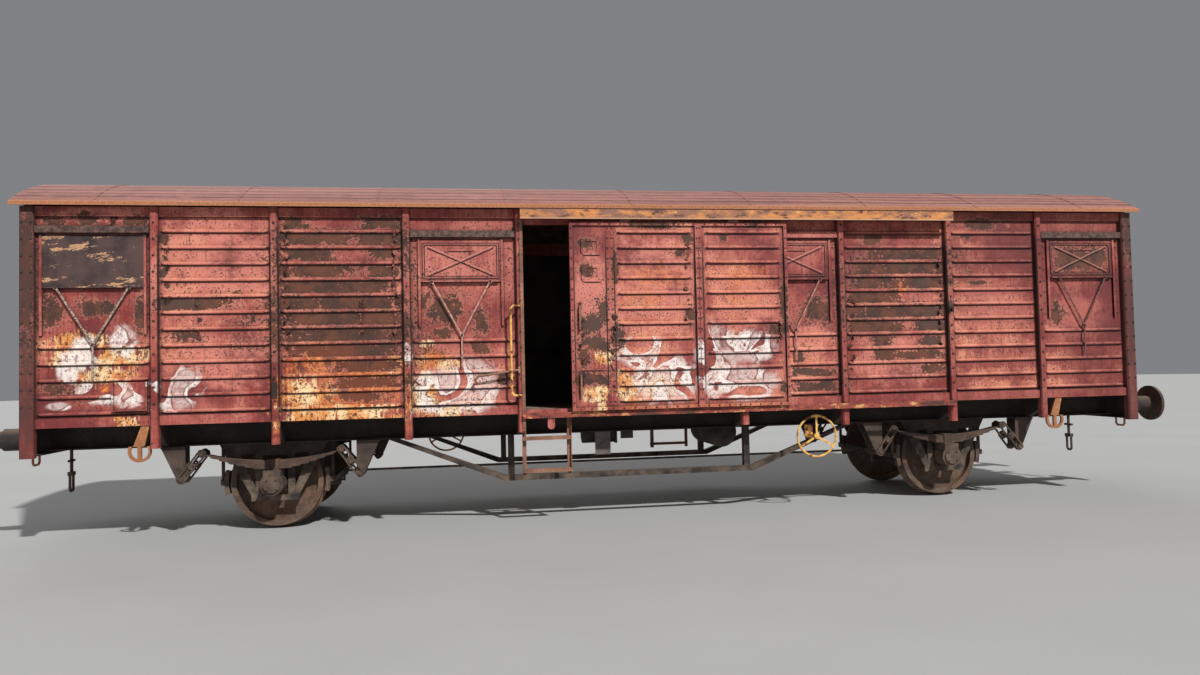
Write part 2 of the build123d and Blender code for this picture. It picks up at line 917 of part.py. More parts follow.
def wheels(place):
    """Two solid wheels: tyre with its flange inwards, dished web and hub."""
    back = wheel_gap / 2
    face = back + tyre_width
    seat_in = back - hub_inset
    seat_out = seat_in + hub_length
    rim = tread_radius - tyre_thickness
    centre = (place, 0, axle_height)
    profile = [
        (wheel_seat_radius, seat_in), (hub_radius, seat_in), (hub_radius, back + web_set_hub),
        (rim, back + web_set_rim), (rim, back), (flange_radius - flange_round, back),
        (flange_radius, back + flange_width / 3),
        (flange_radius - flange_round, back + flange_width * 2 / 3),
        (tread_radius, back + flange_width), (tread_radius - flange_round / 2, face), (rim, face),
        (rim, back + web_set_rim + web_thickness), (hub_radius, back + web_set_hub + web_thickness),
        (hub_radius, seat_out), (wheel_seat_radius, seat_out),
    ]
    with BuildPart() as pair:
        for side in (-1, 1):
            with BuildSketch(Plane(origin=centre, x_dir=(1, 0, 0), z_dir=(0, 0, 1))):
                Polygon(*[(r, side * y) for r, y in profile], align=None)
            revolve(axis=Axis(centre, (0, 1, 0)))
    return pair.part


def axleboxes():
    inner = journal_out - axlebox_length / 2
    journal_in = journal_out - journal_length / 2
    journal_end = journal_out + journal_length / 2
    with BuildPart() as boxes:
        for place in axle_places.values():
            with BuildSketch(near(inner)):
                with Locations((place, axle_height)):
                    Circle(axlebox_round)
                    Rectangle(2 * axlebox_half_width, axlebox_top, align=(Align.CENTER, Align.MIN))
            extrude(amount=axlebox_length)
            with BuildSketch(near(inner + axlebox_length)):
                with Locations((place, axle_height)):
                    Circle(axlebox_cap_radius)
            extrude(amount=axlebox_cap)
            for radius, length in (
                (axle_radius, journal_in + 2 * bearing_clearance - inner),
                (journal_radius, journal_end + 4 * bearing_clearance - inner),
            ):
                with BuildSketch(near(inner)):
                    with Locations((place, axle_height)):
                        Circle(radius + bearing_clearance)
                extrude(amount=length, mode=Mode.SUBTRACT)
    return boxes.part


def axle_guards():
    """Plates behind the springs, with a slot for each axlebox closed by a tie bar."""
    foot = rail_top + guard_foot_height
    slot_top = rail_top + guard_slot_height
    shoulder = sole_bar_bottom - guard_thickness
    window_low = foot + 2 * guard_leg
    window_top = slot_top + guard_rim / 2
    window_in = guard_half_slot + guard_leg
    window_out = (guard_half_foot + guard_half_top) / 2 - guard_rim
    with BuildPart() as guards:
        for place in axle_places.values():
            with BuildSketch(near(sole_bar_web_in - guard_thickness)):
                with Locations((place, 0)):
                    Polygon(
                        (-guard_half_top, cross_bottom), (-guard_half_top, shoulder),
                        (-guard_half_foot, foot + guard_tie), (-guard_half_foot, foot),
                        (guard_half_foot, foot), (guard_half_foot, foot + guard_tie),
                        (guard_half_top, shoulder), (guard_half_top, cross_bottom), align=None,
                    )
                with Locations((place, foot + guard_tie)):
                    Rectangle(
                        2 * guard_half_slot, slot_top - foot - guard_tie,
                        align=(Align.CENTER, Align.MIN), mode=Mode.SUBTRACT,
                    )
                for side in (-1, 1):
                    with Locations((place, 0)):
                        Polygon(
                            (side * window_in, window_low), (side * window_in, window_top),
                            (side * window_out, window_top), align=None, mode=Mode.SUBTRACT,
                        )
            extrude(amount=guard_thickness)
    return guards.part


def leaf_springs():
    """Stack of leaves curved upwards at the ends, held by a buckle on the axlebox."""
    stack = leaf_count * leaf_thickness
    top = spring_seat + stack
    curve = (spring_half_span**2 + spring_rise**2) / (2 * spring_rise)
    out_low = journal_out - spring_width / 2
    with BuildPart() as springs:
        for place in axle_places.values():
            for leaf in range(leaf_count):
                outer = curve + (leaf + 1) * leaf_thickness
                with BuildSketch(near(out_low)):
                    with Locations((place, top + curve)):
                        Circle(outer)
                        Circle(outer - leaf_thickness, mode=Mode.SUBTRACT)
                    with Locations((place, top)):
                        Rectangle(
                            2 * (spring_half_span - leaf * leaf_step), 2 * (spring_rise + stack),
                            mode=Mode.INTERSECT,
                        )
                extrude(amount=spring_width)
            block(
                place - buckle_length / 2, place + buckle_length / 2, out_low - buckle_wall,
                out_low + spring_width + buckle_wall, spring_seat - buckle_wall, top + buckle_wall,
            )
            for side in (-1, 1):
                x = place + side * spring_half_span
                rod_across(x, spring_eye_height, out_low, out_low + spring_width, spring_eye_radius)
                reach = outer_plate_out - link_gap + pin_end
                rod_across(x, spring_eye_height, journal_out - reach, journal_out + reach, pin_radius)
    return springs.part


def spring_links():
    """Two pairs of forged rings in a row, from each spring's eye to its hanger's pin."""
    inside = pin_radius + pin_clearance
    outside = inside + link_wall
    with BuildPart() as links:
        for place, side in suspension_places:
            eye = (place + side * spring_half_span, spring_eye_height)
            foot = (place + side * link_pin_offset, link_pin_z)
            middle = ((eye[0] + foot[0]) / 2, (eye[1] + foot[1]) / 2)
            for start, end, out in ((eye, middle, inner_plate_out), (middle, foot, outer_plate_out)):
                length = hypot(start[0] - end[0], start[1] - end[1])
                tilt = degrees(atan2(start[1] - end[1], start[0] - end[0]))
                centre = Location(((start[0] + end[0]) / 2, (start[1] + end[1]) / 2, 0), (0, 0, tilt))
                for plate in (journal_out - out - link_plate, journal_out + out):
                    with BuildSketch(near(plate)) as ring:
                        with Locations(centre):
                            Rectangle(length + 2 * outside, 2 * outside)
                        chamfer(ring.vertices(), link_corner)
                        with Locations(centre):
                            Rectangle(length + 2 * inside, 2 * inside, mode=Mode.SUBTRACT)
                    extrude(amount=link_plate)
            reach = outer_plate_out + link_plate + pin_end
            rod_across(*middle, journal_out - reach, journal_out + reach, pin_radius)
    return links.part


def spring_hangers():
    """Brackets of two plates under the sole bar that end in the links' lower pins."""
    inside = journal_out - inner_plate_out - link_plate
    outside = journal_out + inner_plate_out
    reach = outer_plate_out + link_plate + pin_end
    with BuildPart() as hangers:
        for place, side in suspension_places:
            pin = place + side * link_pin_offset
            inner_edge = pin - side * hanger_inner
            outer_edge = pin + side * hanger_top_length
            for out in (inside, outside):
                with BuildSketch(near(out)):
                    with Locations((pin, 0)):
                        Polygon(
                            (-side * hanger_inner, link_pin_z), (-side * hanger_inner, sole_bar_bottom),
                            (side * hanger_top_length, sole_bar_bottom),
                            (side * hanger_foot_radius, link_pin_z), align=None,
                        )
                    with Locations((pin, link_pin_z)):
                        Circle(hanger_foot_radius)
                extrude(amount=link_plate)
            block(
                *sorted((inner_edge, outer_edge)), inside, outside + link_plate,
                sole_bar_bottom - link_plate, sole_bar_bottom,
            )
            rod_across(pin, link_pin_z, journal_out - reach, journal_out + reach, pin_radius)
    return hangers.part


def truss():
    """Sloping struts, bottom chord and two posts below the sole bar."""
    low = rail_top + truss_height
    high = low + truss_depth
    inner_knee = truss_knee_place - truss_depth / 3
    with BuildPart() as frame:
        with BuildSketch(near(journal_out - truss_width / 2)):
            Polygon(
                (-truss_top_place - truss_bar, sole_bar_bottom), (-truss_knee_place, low),
                (truss_knee_place, low), (truss_top_place + truss_bar, sole_bar_bottom),
                (truss_top_place, sole_bar_bottom), (inner_knee, high), (-inner_knee, high),
                (-truss_top_place, sole_bar_bottom), align=None,
            )
            with Locations((-truss_post_place, high), (truss_post_place, high)):
                Rectangle(truss_post_width, sole_bar_bottom - high, align=(Align.CENTER, Align.MIN))
        extrude(amount=truss_width)
    return frame.part


def ladder():
    """Two angle rails under the threshold, with two treads."""
    front = wall_in + ladder_tread_depth
    foot = rail_top + ladder_height
    with BuildPart() as steps:
        for x_low, side, top in (
            (ladder_left, 1, rail_top + jamb_foot_height), (ladder_right, -1, sill_bottom),
        ):
            plate = sorted((x_low, x_low + side * ladder_wall))
            flange = sorted((x_low, x_low + side * ladder_angle))
            block(*plate, wall_in, wall_in + ladder_angle, foot, top)
            block(*flange, wall_in, wall_in + ladder_wall, foot, top)
        for height in ladder_tread_heights:
            tread = rail_top + height
            block(ladder_left, ladder_right, wall_in, front, tread, tread + ladder_wall)
            block(ladder_left, ladder_right, front - ladder_wall, front, tread - ladder_tread_lip, tread)
    return steps.part


def handrail():
    """Round bar beside the doorway, bent back to the jamb post at both ends."""
    low, high = (rail_top + height for height in handrail_heights)
    root = -(jamb_place + jamb_width / 2 - post_chamfer - handrail_radius - pin_clearance)
    out = post_out + handrail_stand
    bend = handrail_bend
    with BuildPart() as rail:
        with BuildLine() as path:
            Polyline(
                (root, -post_out, high), (root, -out + bend, high), (root - bend, -out, high),
                (handrail_place + bend, -out, high), (handrail_place, -out, high - bend),
                (handrail_place, -out, low + bend), (handrail_place + bend, -out, low),
                (root - bend, -out, low), (root, -out + bend, low), (root, -post_out, low),
            )
        with BuildSketch(Plane(origin=path.line @ 0, z_dir=path.line % 0)) as section:
            Circle(handrail_radius)
        sweep(section.sketch, path=path.line, transition=Transition.RIGHT)
    return rail.part


def handwheel():
    """Rim with three spokes and a hub on a shaft, held by a plate from the sole bar."""
    out = wall_in - handwheel_rim
    height = rail_top + handwheel_height
    centre = (handwheel_place, -out, height)
    with BuildPart() as wheel:
        with BuildSketch(Plane(origin=centre, x_dir=(1, 0, 0), z_dir=(0, 0, 1))):
            with Locations((handwheel_radius, 0)):
                RegularPolygon(handwheel_rim, 8)
        revolve(axis=Axis(centre, (0, 1, 0)))
        rod_across(handwheel_place, height, out - handwheel_hub, out + handwheel_hub / 2, handwheel_hub)
        with BuildSketch(near(out - handwheel_rim / 2)):
            for turn in (90, 210, 330):
                with Locations(
                    (
                        handwheel_place + handwheel_radius / 2 * cos(radians(turn)),
                        height + handwheel_radius / 2 * sin(radians(turn)),
                    )
                ):
                    Rectangle(handwheel_radius, handwheel_spoke, rotation=turn)
        extrude(amount=handwheel_rim)
        rod_across(handwheel_place, height, sole_bar_web_in, out, handwheel_shaft)
        block(
            handwheel_place - handwheel_plate, handwheel_place + handwheel_plate,
            sole_bar_out - sole_bar_wall, sole_bar_out, height - 2 * handwheel_shaft, sole_bar_bottom,
        )
    return wheel.part


def rope_hooks():
    """Forged double horns below the sill, on a strap that leans out from the sill's underside."""
    low = rail_top + rope_hook_height
    centre = low + rope_hook_radius
    inner = rope_hook_radius - rope_hook_bar
    back = (wall_in + sill_out) / 2 - rope_hook_bar / 2
    rope_hook_place = outer_post_place + rope_hook_gap
    with BuildPart() as hooks:
        for place in (-rope_hook_place, rope_hook_place):
            with BuildSketch(near(back)):
                with Locations((place, centre)):
                    Circle(rope_hook_radius)
                    Circle(inner, mode=Mode.SUBTRACT)
                    with Locations((0, rope_hook_horn)):
                        Rectangle(
                            2 * rope_hook_radius, 2 * rope_hook_radius, align=(Align.CENTER, Align.MIN),
                            mode=Mode.SUBTRACT,
                        )
                    with Locations((0, -inner)):
                        Rectangle(rope_hook_neck, inner + rope_hook_horn, align=(Align.CENTER, Align.MIN))
                with Locations((place, 0)):
                    Polygon(
                        (-1.5 * rope_hook_neck, centre + rope_hook_horn),
                        (1.2 * rope_hook_neck, centre + rope_hook_horn),
                        (2.5 * rope_hook_neck, sill_bottom), (0.5 * rope_hook_neck, sill_bottom),
                        align=None,
                    )
            extrude(amount=rope_hook_bar)
    return hooks.part


def label_tray():
    """Open tray for a paper slip, across two ribs of the outer bay."""
    right = bays["outer_left"][1] - label_tray_gap
    left = right - label_tray_width
    low = rail_top + label_tray_height
    high = low + label_tray_rise
    back = sheet_out + rib_depth
    with BuildPart() as tray:
        block(left, right, back, back + label_tray_depth, low, high)
        block(
            left + label_tray_rim, right - label_tray_rim, back + label_tray_sheet, back + label_tray_depth,
            low + label_tray_rim, high, mode=Mode.SUBTRACT,
        )
    return tray.part


def buffer_places():
    """Planes on the headstocks at the four buffers, facing outwards."""
    return [
        Plane(origin=(side * half_length, place, buffer_z), x_dir=(0, side, 0), z_dir=(side, 0, 0))
        for side in (-1, 1) for place in (-buffer_spacing / 2, buffer_spacing / 2)
    ]


def buffer_casings():
    with BuildPart() as casings:
        for face in buffer_places():
            with BuildSketch(face):
                Rectangle(buffer_plate_width, buffer_plate_height)
            extrude(amount=buffer_plate_thickness)
            with BuildSketch(face):
                Circle(buffer_casing_radius)
            extrude(amount=buffer_casing_length)
            with BuildSketch(face.offset(buffer_casing_floor)):
                Circle(buffer_tube_radius + buffer_tube_clearance)
            extrude(amount=buffer_casing_length - buffer_casing_floor, mode=Mode.SUBTRACT)
    return casings.part


def buffer_heads():
    with BuildPart() as heads:
        for face in buffer_places():
            with BuildSketch(face.offset(buffer_casing_floor)):
                Circle(buffer_tube_radius)
            extrude(amount=buffer_length - buffer_casing_floor - buffer_head_thickness)
            with BuildSketch(face.offset(buffer_length - buffer_head_thickness)):
                Circle(buffer_head_radius)
            extrude(amount=buffer_head_thickness)
    return heads.part


def draw_hooks():
    """Hooks on their square shanks, through a plate on the headstock."""
    with BuildPart() as hooks:
        for side in (-1, 1):
            with BuildSketch(end_face(side, half_length)):
                with Locations((0, buffer_z)):
                    Rectangle(hook_plate_width, hook_plate_height)
            extrude(amount=hook_plate_thickness)
            start = side * (half_length + hook_plate_thickness)
            face = Plane(origin=(start, hook_thickness / 2, buffer_z), x_dir=(1, 0, 0), z_dir=(0, -1, 0))
            with BuildSketch(face):
                with BuildLine():
                    Polyline((0, -40), (0, 34), (side * 120, 34), (side * 150, -10))
                    ThreePointArc((side * 150, -10), (side * 185, -32), (side * 214, 2))
                    Polyline((side * 214, 2), (side * 214, 84), (side * 262, 60), (side * 274, -20))
                    ThreePointArc((side * 274, -20), (side * 200, -104), (side * 110, -78))
                    Line((side * 110, -78), (0, -40))
                make_face()
                with Locations((side * coupling_pin_place, 0)):
                    Circle(coupling_pin_radius + pin_clearance, mode=Mode.SUBTRACT)
            extrude(amount=hook_thickness)
    return hooks.part


def screw_couplings():
    """Straps on the hook's pin, screw with its lever, and the bow that hangs from it."""
    strap_in = hook_thickness / 2 + pin_clearance
    strap_out = strap_in + coupling_strap
    upper = buffer_z - coupling_strap_length
    lower = upper - coupling_screw_length
    half = coupling_block / 2
    with BuildPart() as couplings:
        for side in (-1, 1):
            x = side * (half_length + hook_plate_thickness + coupling_pin_place)
            rod_across(x, buffer_z, -strap_out, strap_out, coupling_pin_radius)
            for out in (-strap_out, strap_in):
                block(x - half, x + half, out, out + coupling_strap, upper - half, buffer_z + half)
            for height in (upper, lower):
                block(
                    x - half, x + half, -coupling_bow_half, coupling_bow_half, height - half, height + half,
                )
            with Locations((x, 0, (upper + lower) / 2)):
                Cylinder(coupling_screw_radius, coupling_screw_length)
            with Locations(Location((x, 0, (upper + lower) / 2), (90, 0, 0))):
                Cylinder(coupling_bow_radius, 2.5 * coupling_bow_half)
            with BuildLine() as path:
                Polyline(
                    (x, -coupling_bow_half + coupling_bow_radius, lower),
                    (x, -coupling_bow_half + coupling_bow_radius, lower - coupling_bow_length + half),
                    (x, -half, lower - coupling_bow_length), (x, half, lower - coupling_bow_length),
                    (x, coupling_bow_half - coupling_bow_radius, lower - coupling_bow_length + half),
                    (x, coupling_bow_half - coupling_bow_radius, lower),
                )
            with BuildSketch(Plane(origin=path.line @ 0, z_dir=path.line % 0)) as section:
                Circle(coupling_bow_radius)
            sweep(section.sketch, path=path.line, transition=Transition.RIGHT)
    return couplings.part


def brake_cocks():
    """Stub of the brake pipe with its cock and lever, two on each headstock."""
    height = buffer_z - cock_drop
    with BuildPart() as cocks:
        for side in (-1, 1):
            for place in (-cock_place, cock_place):
                middle = side * (half_length + cock_length / 2)
                with Locations(Location((middle, place, height), (0, 90, 0))):
                    Cylinder(cock_radius, cock_length)
                with Locations((middle, place, height)):
                    Cylinder(cock_radius * 0.8, 3 * cock_radius)
                inwards = -cock_lever / 2 if place > 0 else cock_lever / 2
                with Locations((middle, place + inwards, height + 1.5 * cock_radius)):
                    Box(cock_radius, cock_lever, cock_radius / 2)
    return cocks.part


def shunter_handles():
    """Bent grab bars under the headstocks, beside the buffers."""
    low = headstock_bottom - handle_drop
    with BuildPart() as handles:
        for side in (-1, 1):
            x = side * (half_length - headstock_depth / 2)
            for place in (-handle_place, handle_place):
                with BuildLine() as path:
                    Polyline(
                        (x, place - handle_half_width, headstock_bottom),
                        (x, place - handle_half_width, low + handle_drop / 4),
                        (x, place - handle_half_width + handle_drop / 4, low),
                        (x, place + handle_half_width - handle_drop / 4, low),
                        (x, place + handle_half_width, low + handle_drop / 4),
                        (x, place + handle_half_width, headstock_bottom),
                    )
                with BuildSketch(Plane(origin=path.line @ 0, z_dir=path.line % 0)) as section:
                    Circle(handle_radius)
                sweep(section.sketch, path=path.line, transition=Transition.RIGHT)
    return handles.part


def brake_shoes():
    """Curved blocks before and behind each wheel, each on a hanger from the sole bar."""
    inner = tread_radius + shoe_radius_gap
    outer = inner + shoe_thickness
    out_low = wheel_gap / 2 + flange_width + shoe_inset
    out_high = out_low + shoe_width
    top = rail_top + brake_hanger_height
    with BuildPart() as shoes:
        for place, side in suspension_places:
            pivot = place + side * brake_hanger_offset
            with BuildSketch(near(out_low)):
                with BuildLine():
                    for radius in (inner, outer):
                        start = (90 - side * 90) - shoe_half_angle
                        CenterArc((place, axle_height), radius, start, 2 * shoe_half_angle)
                    for angle in (-shoe_half_angle, shoe_half_angle):
                        x, z = side * cos(radians(angle)), sin(radians(angle))
                        Line(
                            (place + inner * x, axle_height + inner * z),
                            (place + outer * x, axle_height + outer * z),
                        )
                make_face()
            extrude(amount=shoe_width)
            back = place + side * (outer - shoe_inset)
            x_low, x_high = sorted((back, pivot + side * brake_hanger_bar / 2))
            block(
                x_low, x_high, out_low, out_high,
                axle_height - brake_beam_height / 2, axle_height + brake_beam_height / 2,
            )
            block(
                pivot - brake_hanger_bar / 2, pivot + brake_hanger_bar / 2, out_low + shoe_inset,
                out_low + shoe_inset + brake_hanger_bar, axle_height, top + brake_hanger_bar / 2,
            )
            rod_across(pivot, top, out_low, sole_bar_web_in, brake_hanger_bar / 2)
    return shoes.part


def brake_beams():
    """Bars across the wagon between opposite shoes."""
    reach = wheel_gap / 2 + flange_width + shoe_inset
    with BuildPart() as beams:
        for place, side in suspension_places:
            block(
                *sorted((place + side * brake_beam_start, place + side * brake_beam_end)), -reach, reach,
                axle_height - brake_beam_height / 2, axle_height + brake_beam_height / 2,
            )
    return beams.part


def brake_rods():
    """Levers under the beams, rods below each axle, and the rods to the middle."""
    beam_low = axle_height - brake_beam_height / 2
    rod_z = axle_height - brake_rod_drop
    half = brake_rod / 2
    with BuildPart() as rods:
        for place in axle_places.values():
            x_low, x_high = place - brake_hanger_offset, place + brake_hanger_offset
            for out in (-brake_rod_place, brake_rod_place):
                block(x_low - half, x_high + half, out - half, out + half, rod_z - half, rod_z + half)
                for x in (x_low, x_high):
                    block(x - half, x + half, out - half, out + half, rod_z + half, beam_low)
        inner = wheelbase / 2 - brake_beam_end - half
        block(-inner, inner, -half, half, axle_height - half, axle_height + half)
        for side in (-1, 1):
            x_low, x_high = sorted((side * inner, side * (inner + half)))
            block(x_low, x_high, -brake_rod, brake_rod, beam_low, axle_height + brake_beam_height / 2)
    return rods.part


def brake_cylinder():
    """Cylinder on a plate below the middle cross member, its piston rod on a lever to the brake rod."""
    z = cross_bottom - brake_cylinder_radius - brake_cylinder_plate
    plate = cross_width / 2
    y = brake_cylinder_place
    front = plate - brake_cylinder_plate
    end = front - brake_cylinder_length
    lever = end - brake_cylinder_length / 2
    with BuildPart() as cylinder:
        block(
            front, plate, -y - brake_cylinder_radius, -y + brake_cylinder_radius,
            z - brake_cylinder_radius, cross_bottom,
        )
        for middle, radius, length in (
            ((front + end) / 2, brake_cylinder_radius, front - end),
            ((end + lever) / 2, brake_piston_radius, end - lever),
        ):
            with Locations(Location((middle, y, z), (0, 90, 0))):
                Cylinder(radius, length)
        half = brake_rod / 2
        block(lever - brake_rod, lever, -y - brake_rod, half, z - half, z + half)
        block(lever - brake_rod, lever, -half, half, axle_height + half, z + half)
    return cylinder.part


def air_reservoir():
    """Round tank across the wagon, held by two saddles below a cross member."""
    z = cross_bottom - reservoir_radius - brake_cylinder_plate
    half = reservoir_length / 2
    with BuildPart() as tank:
        with BuildSketch(Plane(origin=(jamb_place, 0, z), x_dir=(1, 0, 0), z_dir=(0, 0, 1))):
            Polygon(
                (0, -half), (reservoir_radius / 2, -half), (reservoir_radius, -half + reservoir_cap),
                (reservoir_radius, half - reservoir_cap), (reservoir_radius / 2, half), (0, half),
                align=None,
            )
        revolve(axis=Axis((jamb_place, 0, z), (0, 1, 0)))
        for place in (-reservoir_saddle_place, reservoir_saddle_place):
            block(
                jamb_place - cross_width / 2, jamb_place + cross_width / 2, place - reservoir_saddle / 2,
                place + reservoir_saddle / 2, z, cross_bottom,
            )
    return tank.part


def changeover_plate():
    """Blank plate below the sole bar with the brake's changeover lever on it."""
    half = changeover_width / 2
    low = sole_bar_bottom - changeover_drop
    with BuildPart() as plate:
        block(
            changeover_place - half, changeover_place + half, sole_bar_out - changeover_thickness,
            sole_bar_out, low, sole_bar_bottom,
        )
        with BuildSketch(near(sole_bar_out)):
            with Locations((changeover_place, (low + sole_bar_bottom) / 2)):
                Rectangle(changeover_lever, 2 * changeover_thickness, rotation=35)
                Circle(2 * changeover_thickness)
        extrude(amount=changeover_thickness)
    return plate.part


near_posts = side_posts()
save(near_posts, "side_posts_near")
save(turned(near_posts), "side_posts_far")
near_rails = side_rails()
save(near_rails, "side_rails_near")
save(turned(near_rails), "side_rails_far")
near_panels = side_panels()
save(near_panels, "side_panels_near")
save(turned(near_panels), "side_panels_far")
both(vent_guides(), "vent_guides")
for row in shutter_table:
    plate = shutter(*shutter_box(*row), crossed=row[0] != plain_shutter)
    save(plate, f"shutter_near_{row[0]}")
    save(turned(plate), f"shutter_far_{row[0]}")
save(end_wall(-1), "end_wall_left")
save(end_wall(1), "end_wall_right")
save(end_posts(), "end_posts")
save(roof(), "roof")
save(roof_hoops(), "roof_hoops")
save(plank_floor(), "floor")
save(door(door_rest_shift), "door_near")
save(turned(door(0)), "door_far")
save(door_fittings(door_rest_shift), "door_fittings_near")
save(turned(door_fittings(0)), "door_fittings_far")
both(lower_rail(), "lower_door_rails")
both(track_cover(), "door_track_covers")
both(jamb_strips(), "jamb_strips")
both(door_catch(), "door_catches")
both(sole_bar(), "sole_bars")
both(outriggers(), "outriggers")
save(cross_members(), "cross_members")
save(headstocks(), "headstocks")
for end, place in axle_places.items():
    save(axle(place), f"axle_{end}")
    save(wheels(place), f"wheels_{end}")
both(axleboxes(), "axleboxes")
both(axle_guards(), "axle_guards")
both(leaf_springs(), "leaf_springs")
both(spring_links(), "spring_links")
both(spring_hangers(), "spring_hangers")
both(truss(), "trusses")
both(ladder(), "door_ladders")
both(handrail(), "handrails")
both(handwheel(), "handbrake_wheels")
both(rope_hooks(), "rope_hooks")
both(label_tray(), "label_trays")
save(buffer_casings(), "buffer_casings")
save(buffer_heads(), "buffer_heads")
save(draw_hooks(), "draw_hooks")
save(screw_couplings(), "screw_couplings")
save(brake_cocks(), "brake_cocks")
save(shunter_handles(), "shunter_handles")
both(brake_shoes(), "brake_shoes")
save(brake_beams(), "brake_beams")
save(brake_rods(), "brake_rods")
save(brake_cylinder(), "brake_cylinder")
save(air_reservoir(), "air_reservoir")
both(changeover_plate(), "changeover_plates")
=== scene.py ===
import math
import random
import bpy
from mathutils import Matrix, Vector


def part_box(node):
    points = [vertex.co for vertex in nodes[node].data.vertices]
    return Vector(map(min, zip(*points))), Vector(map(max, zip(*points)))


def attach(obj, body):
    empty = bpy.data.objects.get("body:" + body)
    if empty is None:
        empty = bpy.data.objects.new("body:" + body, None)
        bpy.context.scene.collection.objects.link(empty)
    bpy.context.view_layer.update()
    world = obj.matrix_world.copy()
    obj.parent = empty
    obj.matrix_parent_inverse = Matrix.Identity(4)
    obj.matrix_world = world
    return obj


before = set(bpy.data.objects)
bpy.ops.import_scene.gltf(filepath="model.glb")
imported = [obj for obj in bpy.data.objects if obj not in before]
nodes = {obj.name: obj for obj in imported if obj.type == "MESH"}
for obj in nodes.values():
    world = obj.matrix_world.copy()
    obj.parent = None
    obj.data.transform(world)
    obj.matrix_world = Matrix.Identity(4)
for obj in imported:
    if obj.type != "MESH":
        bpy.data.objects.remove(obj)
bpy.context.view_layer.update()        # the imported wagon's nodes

print("frame loaded:", len(nodes), "nodes")


# Small helpers for selecting, placing and copying pieces

def deselectAll():
    bpy.ops.object.select_all(action="DESELECT")


def pick(*pieces):
    deselectAll()
    for piece in pieces:
        piece.select_set(True)
    bpy.context.view_layer.objects.active = pieces[0]


def settle(piece, name=None):    # puts the piece's place into its mesh
    pick(piece)
    bpy.ops.object.transform_apply(location=True, rotation=True, scale=True)
    if name:
        piece.name = piece.data.name = name
    return piece


def copyOf(piece, location=(0, 0, 0), turn=(0, 0, 0)):
    twin = piece.copy()
    twin.data = piece.data.copy()
    twin.location = location
    twin.rotation_euler = turn
    bpy.context.scene.collection.objects.link(twin)
    return twin


def joined(pieces, name):
    pick(*pieces)
    if len(pieces) > 1:
        bpy.ops.object.join()
    return settle(bpy.context.view_layer.objects.active, name)


def copiesAt(piece, spots, name):    # spots are (x, y, z) or (x, y, z, turn about Z)
    twins = [copyOf(piece, spot[:3], (0, 0, spot[3] if len(spot) > 3 else 0)) for spot in spots]
    bpy.data.objects.remove(piece)
    return joined(twins, name)


def turnedRound(piece, name, slid=0.0):      # the far side's copy of a near-side piece
    return settle(copyOf(piece, (slid, 0, 0), (0, 0, math.pi)), name)


def addBox(low, high, bevel=0.0):
    middle = [(a + b) / 2 for a, b in zip(low, high)]
    deselectAll()
    bpy.ops.mesh.primitive_cube_add(size=1, location=middle)
    piece = bpy.context.active_object
    piece.scale = [b - a for a, b in zip(low, high)]
    settle(piece, "bar")
    if bevel:
        modifier = piece.modifiers.new("edges", "BEVEL")
        modifier.width = bevel
        modifier.segments = 2
        bpy.ops.object.modifier_apply(modifier=modifier.name)
    return piece


def addDisc(radius, depth, sides, bevel):        # its axis goes from side to side
    deselectAll()
    sideways = (math.pi / 2, 0, 0)
    bpy.ops.mesh.primitive_cylinder_add(vertices=sides, radius=radius, depth=depth, rotation=sideways)
    piece = settle(bpy.context.active_object, "disc")
    modifier = piece.modifiers.new("edges", "BEVEL")
    modifier.width = bevel
    modifier.segments = 2
    modifier.limit_method = "ANGLE"
    modifier.angle_limit = math.radians(50)
    bpy.ops.object.modifier_apply(modifier=modifier.name)
    return piece


def chooseFaces(piece, test):        # leaves the piece in edit mode with the faces that pass a test selected
    pick(piece)
    bpy.ops.object.mode_set(mode="EDIT")
    bpy.ops.mesh.select_mode(type="FACE")
    bpy.ops.mesh.select_all(action="DESELECT")
    bpy.ops.object.mode_set(mode="OBJECT")
    for face in piece.data.polygons:
        face.select = test(face)
    bpy.ops.object.mode_set(mode="EDIT")


def addNut(radius, height):      # a six-sided nut on its bolt, facing the near side
    nut = addDisc(radius, height, 6, radius * 0.12)
    chooseFaces(nut, lambda face: face.normal.y < -0.99)
    bpy.ops.mesh.inset(thickness=radius * 0.38)
    bpy.ops.mesh.extrude_region_move(TRANSFORM_OT_translate={"value": (0, -height * 0.35, 0)})
    bpy.ops.object.mode_set(mode="OBJECT")
    return nut


def riding(piece, material, body):
    piece.data.materials.clear()
    piece.data.materials.append(material)
    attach(piece, body)


def bothSides(piece, material, body, farMaterial=None, slid=0.0):      # a near piece and its far copy
    twin = turnedRound(piece, piece.name.replace("near", "far"), slid)
    riding(twin, farMaterial or material, body.replace("near", "far"))
    riding(piece, material, body)


# Shader helpers. They add nodes to the tree named in work, and the fields they give are values over the
# surface, which can be added, subtracted, multiplied and divided as numbers are.
work = {"tree": None}


class Field:
    def __init__(self, socket):
        self.socket = socket

    def __add__(self, other):
        return calc("ADD", self, other)

    def __radd__(self, other):
        return calc("ADD", other, self)

    def __sub__(self, other):
        return calc("SUBTRACT", self, other)

    def __rsub__(self, other):
        return calc("SUBTRACT", other, self)

    def __mul__(self, other):
        return calc("MULTIPLY", self, other)

    def __truediv__(self, other):
        return calc("DIVIDE", self, other)

    def __abs__(self):
        return calc("ABSOLUTE", self)


def feed(socket, value):
    if isinstance(value, Field):
        work["tree"].links.new(value.socket, socket)
    elif value is not None:
        socket.default_value = value


def newNode(kind, *values, **settings):
    node = work["tree"].nodes.new("ShaderNode" + kind)
    for name, setting in settings.items():
        setattr(node, name, setting)
    for socket, value in zip(node.inputs, values):
        feed(socket, value)
    return node


